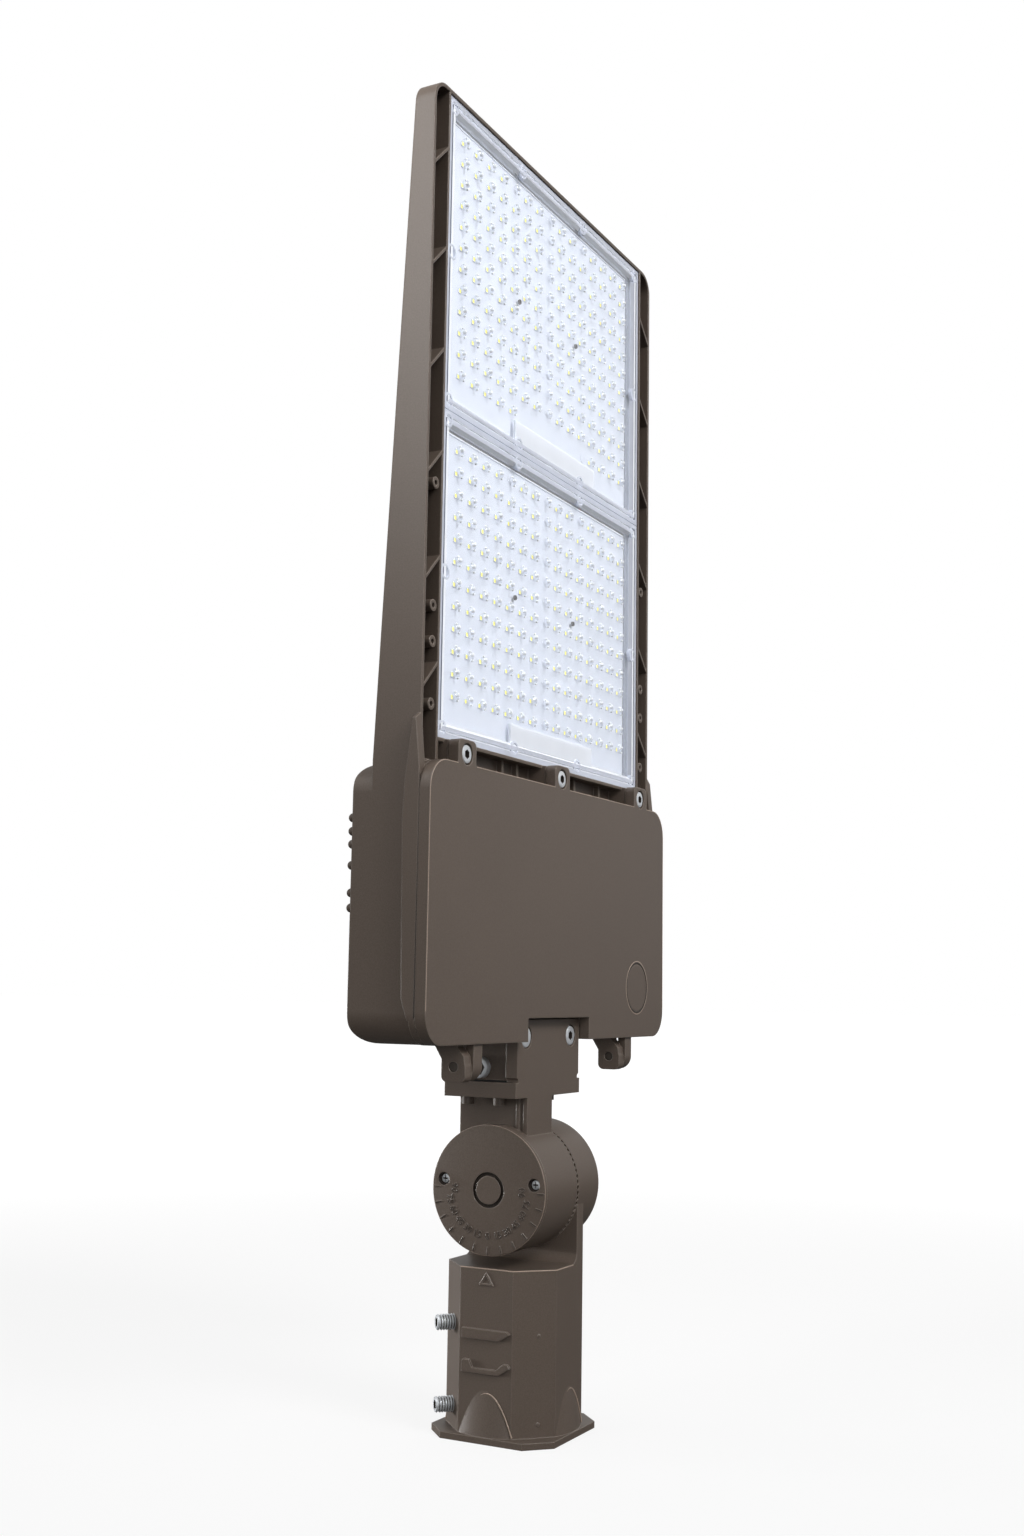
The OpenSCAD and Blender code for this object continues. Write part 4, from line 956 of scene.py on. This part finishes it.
def makeDialScrews():
    screws = []
    for side in (-1, 1):
        screw = makeCrossScrew("screw", dialScrew)
        turned(screw, turns["left"], dial["face"] + dialScrew["sunk"], side * dial["screwY"],
               dial["height"] + dial["screwRise"])
        screws.append(screw)
    pair = joined("dial_cap_screw_pair", screws)
    giveSlots(pair, "zinc")
    placed(pair, "head", "zinc_bolt", "dial_cap_screws")


makeDial()
makeDialScrews()
print("dial cap made")


# lens screws: modelled once and copied to every boss, and to two places in each field

def makeLensScrews():
    master = makeCrossScrew("lensScrew", lensScrew)
    turned(master, turns["front"])
    copies = []
    for top in lens["tops"].values():
        for x, row in rimScrews():
            copies.append(copied(master, x, lens["fieldFront"] - lensScrew["rimRise"], top - row))
        for column in lensScrew["fieldColumns"]:
            x, z = spotPlace(lensScrew["fieldRow"], column, top)
            copies.append(copied(master, x, lens["fieldFront"] - lensScrew["fieldRise"], z))
    bpy.data.objects.remove(master)
    screws = joined("lens_screw_set", copies)
    giveSlots(screws, "dark")
    placed(screws, "head", "zinc_bolt", "lens_screws")


makeLensScrews()


# link plugs: round white plugs on the boards, near each blank cover

linkPlug = {"sides": 24, "radius": 4.2, "soft": 0.2, "x": 59.97, "y": (13.02, 13.5),
            "rises": (16.0, 28.0)}


def makeLinkPlugs():
    plugs = []
    for top in lens["tops"].values():
        for rise in linkPlug["rises"]:
            plug = addRod("plug", linkPlug["sides"], linkPlug["radius"], *linkPlug["y"])
            softenEnds(plug, linkPlug["soft"])
            turned(plug, turns["front"], linkPlug["x"], 0, top - lens["height"] + rise)
            plugs.append(plug)
    plugs = joined("link_plugs", plugs)
    smoothed(plugs, 40)
    giveSlots(plugs, "board")
    placed(plugs, "head", "board_white")


makeLinkPlugs()
print("lens screws and link plugs made")


# beads: a thin round line along points, for edges that catch the light, in a painted highlight

def makeBead(points, radius):
    curve = bpy.data.curves.new("bead", "CURVE")
    curve.dimensions = "3D"
    curve.bevel_depth = radius * mm
    curve.bevel_resolution = 2
    line = curve.splines.new("POLY")
    line.points.add(len(points) - 1)
    for spot, place in zip(line.points, points):
        spot.co = (*[mm * value for value in place], 1)
    bead = bpy.data.objects.new("bead", curve)
    bpy.context.scene.collection.objects.link(bead)
    pickOnly(bead)
    bpy.ops.object.convert(target="MESH")
    return bpy.context.object


def placeBeads(name, beads, body, slotName):
    beads = joined(name, beads)
    smoothed(beads, 60)
    giveSlots(beads, "bronzePaintedHighlight")
    placed(beads, body, slotName)


# painted highlight lines on the fitter's arches, where the foot's flares meet the flats, and on its
# lip below the knuckle

arch = {"flat": 38.4, "steps": 24, "reach": 17.6, "leftReach": 8.0, "shift": 1.5, "crown": 29.0,
        "drop": 24.0, "bead": 0.45}
lip = {"flat": 38.25, "corner": 18.4, "height": 102.8, "end": 5.0, "bead": 0.4}


def archPoints():
    points = []
    for step in range(arch["steps"] + 1):
        side = -arch["leftReach"] + (arch["reach"] + arch["leftReach"]) * step / arch["steps"]
        rise = arch["crown"] - arch["drop"] * (side / arch["reach"]) ** 2
        points.append((side + arch["shift"], -arch["flat"], rise))
    return points


def makeFitterBeads():
    beads = []
    for turn in (0, 90, 180, 270):
        bead = makeBead(archPoints(), arch["bead"])
        bead.data.transform(Matrix.Rotation(math.radians(turn), 4, "Z"))
        beads.append(bead)
    flat, corner, height = lip["flat"], lip["corner"], lip["height"]
    beads.append(makeBead([(-flat, corner, height), (-flat, -corner, height),
                           (-corner, -flat, height), (lip["end"], -flat, height)], lip["bead"]))
    placeBeads("fitter_arch_highlights", beads, "fitter", "bronze_fitter")


makeFitterBeads()
print("fitter arches and lip made")


# painted highlight lines along the door's edges, between its tabs and round its upper corners

doorEdge = {"half": 168.2, "top": 405.2, "low": 262.0, "corner": 18.0, "inset": 0.15, "bead": 0.32,
            "gaps": ((-115.5, -11.0), (11.0, 115.5)), "steps": 8, "tabEnd": 137.5}


def makeDoorEdges():
    half, top, corner = doorEdge["half"], doorEdge["top"], doorEdge["corner"]
    y = doorFront + doorEdge["inset"]
    beads = [makeBead([(low, y, top), (high, y, top)], doorEdge["bead"])
             for low, high in doorEdge["gaps"]]
    for side in (-1, 1):
        points = [(side * half, y, doorEdge["low"])]
        for step in range(doorEdge["steps"] + 1):
            turn = math.pi / 2 * step / doorEdge["steps"]
            points.append((side * (half - corner + corner * math.cos(turn)), y,
                           top - corner + corner * math.sin(turn)))
        points.append((side * doorEdge["tabEnd"], y, top))
        beads.append(makeBead(points, doorEdge["bead"]))
    placeBeads("door_edge_highlights", beads, "door_leaf", "bronze_door")


makeDoorEdges()
print("door edges made")


# knockout: a scored ring on the door, its dark ring painted shade and its lit side a painted
# highlight; a ring is its radius, width and finish

knockout = {"x": 122.0, "z": 277.0, "flatten": 0.3, "segments": (72, 8),
            "rings": ((17.3, 0.8, "bronzePaintedShade"), (18.4, 0.4, "bronzePaintedHighlight"))}


def makeKnockout():
    around, across = knockout["segments"]
    rings = []
    for radius, width, finish in knockout["rings"]:
        ring = addShape("ring", bpy.ops.mesh.primitive_torus_add, major_radius=radius * mm,
                        minor_radius=width * mm, major_segments=around, minor_segments=across)
        ring.scale = (1, 1, knockout["flatten"])
        settle(ring)
        turned(ring, turns["front"], knockout["x"], doorFront, knockout["z"])
        giveSlots(ring, finish)
        smoothed(ring, 60)
        rings.append(ring)
    placed(joined("knockout_shade_and_highlight", rings), "door_leaf", "bronze_door")


makeKnockout()


# the seam between the door and the box: a strip of painted shade, a dark line that widens downward

seam = {"x": 168.5, "y": (-22.6, -21.5), "z": (258.0, 396.0), "sunk": 0.15, "proud": 0.06,
        "narrow": 0.25}


def makeSeams():
    strips = []
    for side in (-1, 1):
        strip = addBlock("strip", (-seam["sunk"], seam["proud"]), seam["y"], seam["z"])
        editing(strip, topFaces)
        bpy.ops.transform.resize(value=(1, seam["narrow"], 1),
                                 center_override=(0, seam["y"][0] * mm, seam["z"][1] * mm))
        edited()
        shifted(strip, seam["x"])
        if side < 0:
            strip.data.transform(Matrix.Scale(-1, 4, (1, 0, 0)))
            strip.data.flip_normals()
        giveSlots(strip, "bronzePaintedShade")
        strips.append(strip)
    placed(joined("door_seam_shade", strips), "door_leaf", "bronze_door")


makeSeams()
print("knockout and seam made")


bpy.context.view_layer.update()
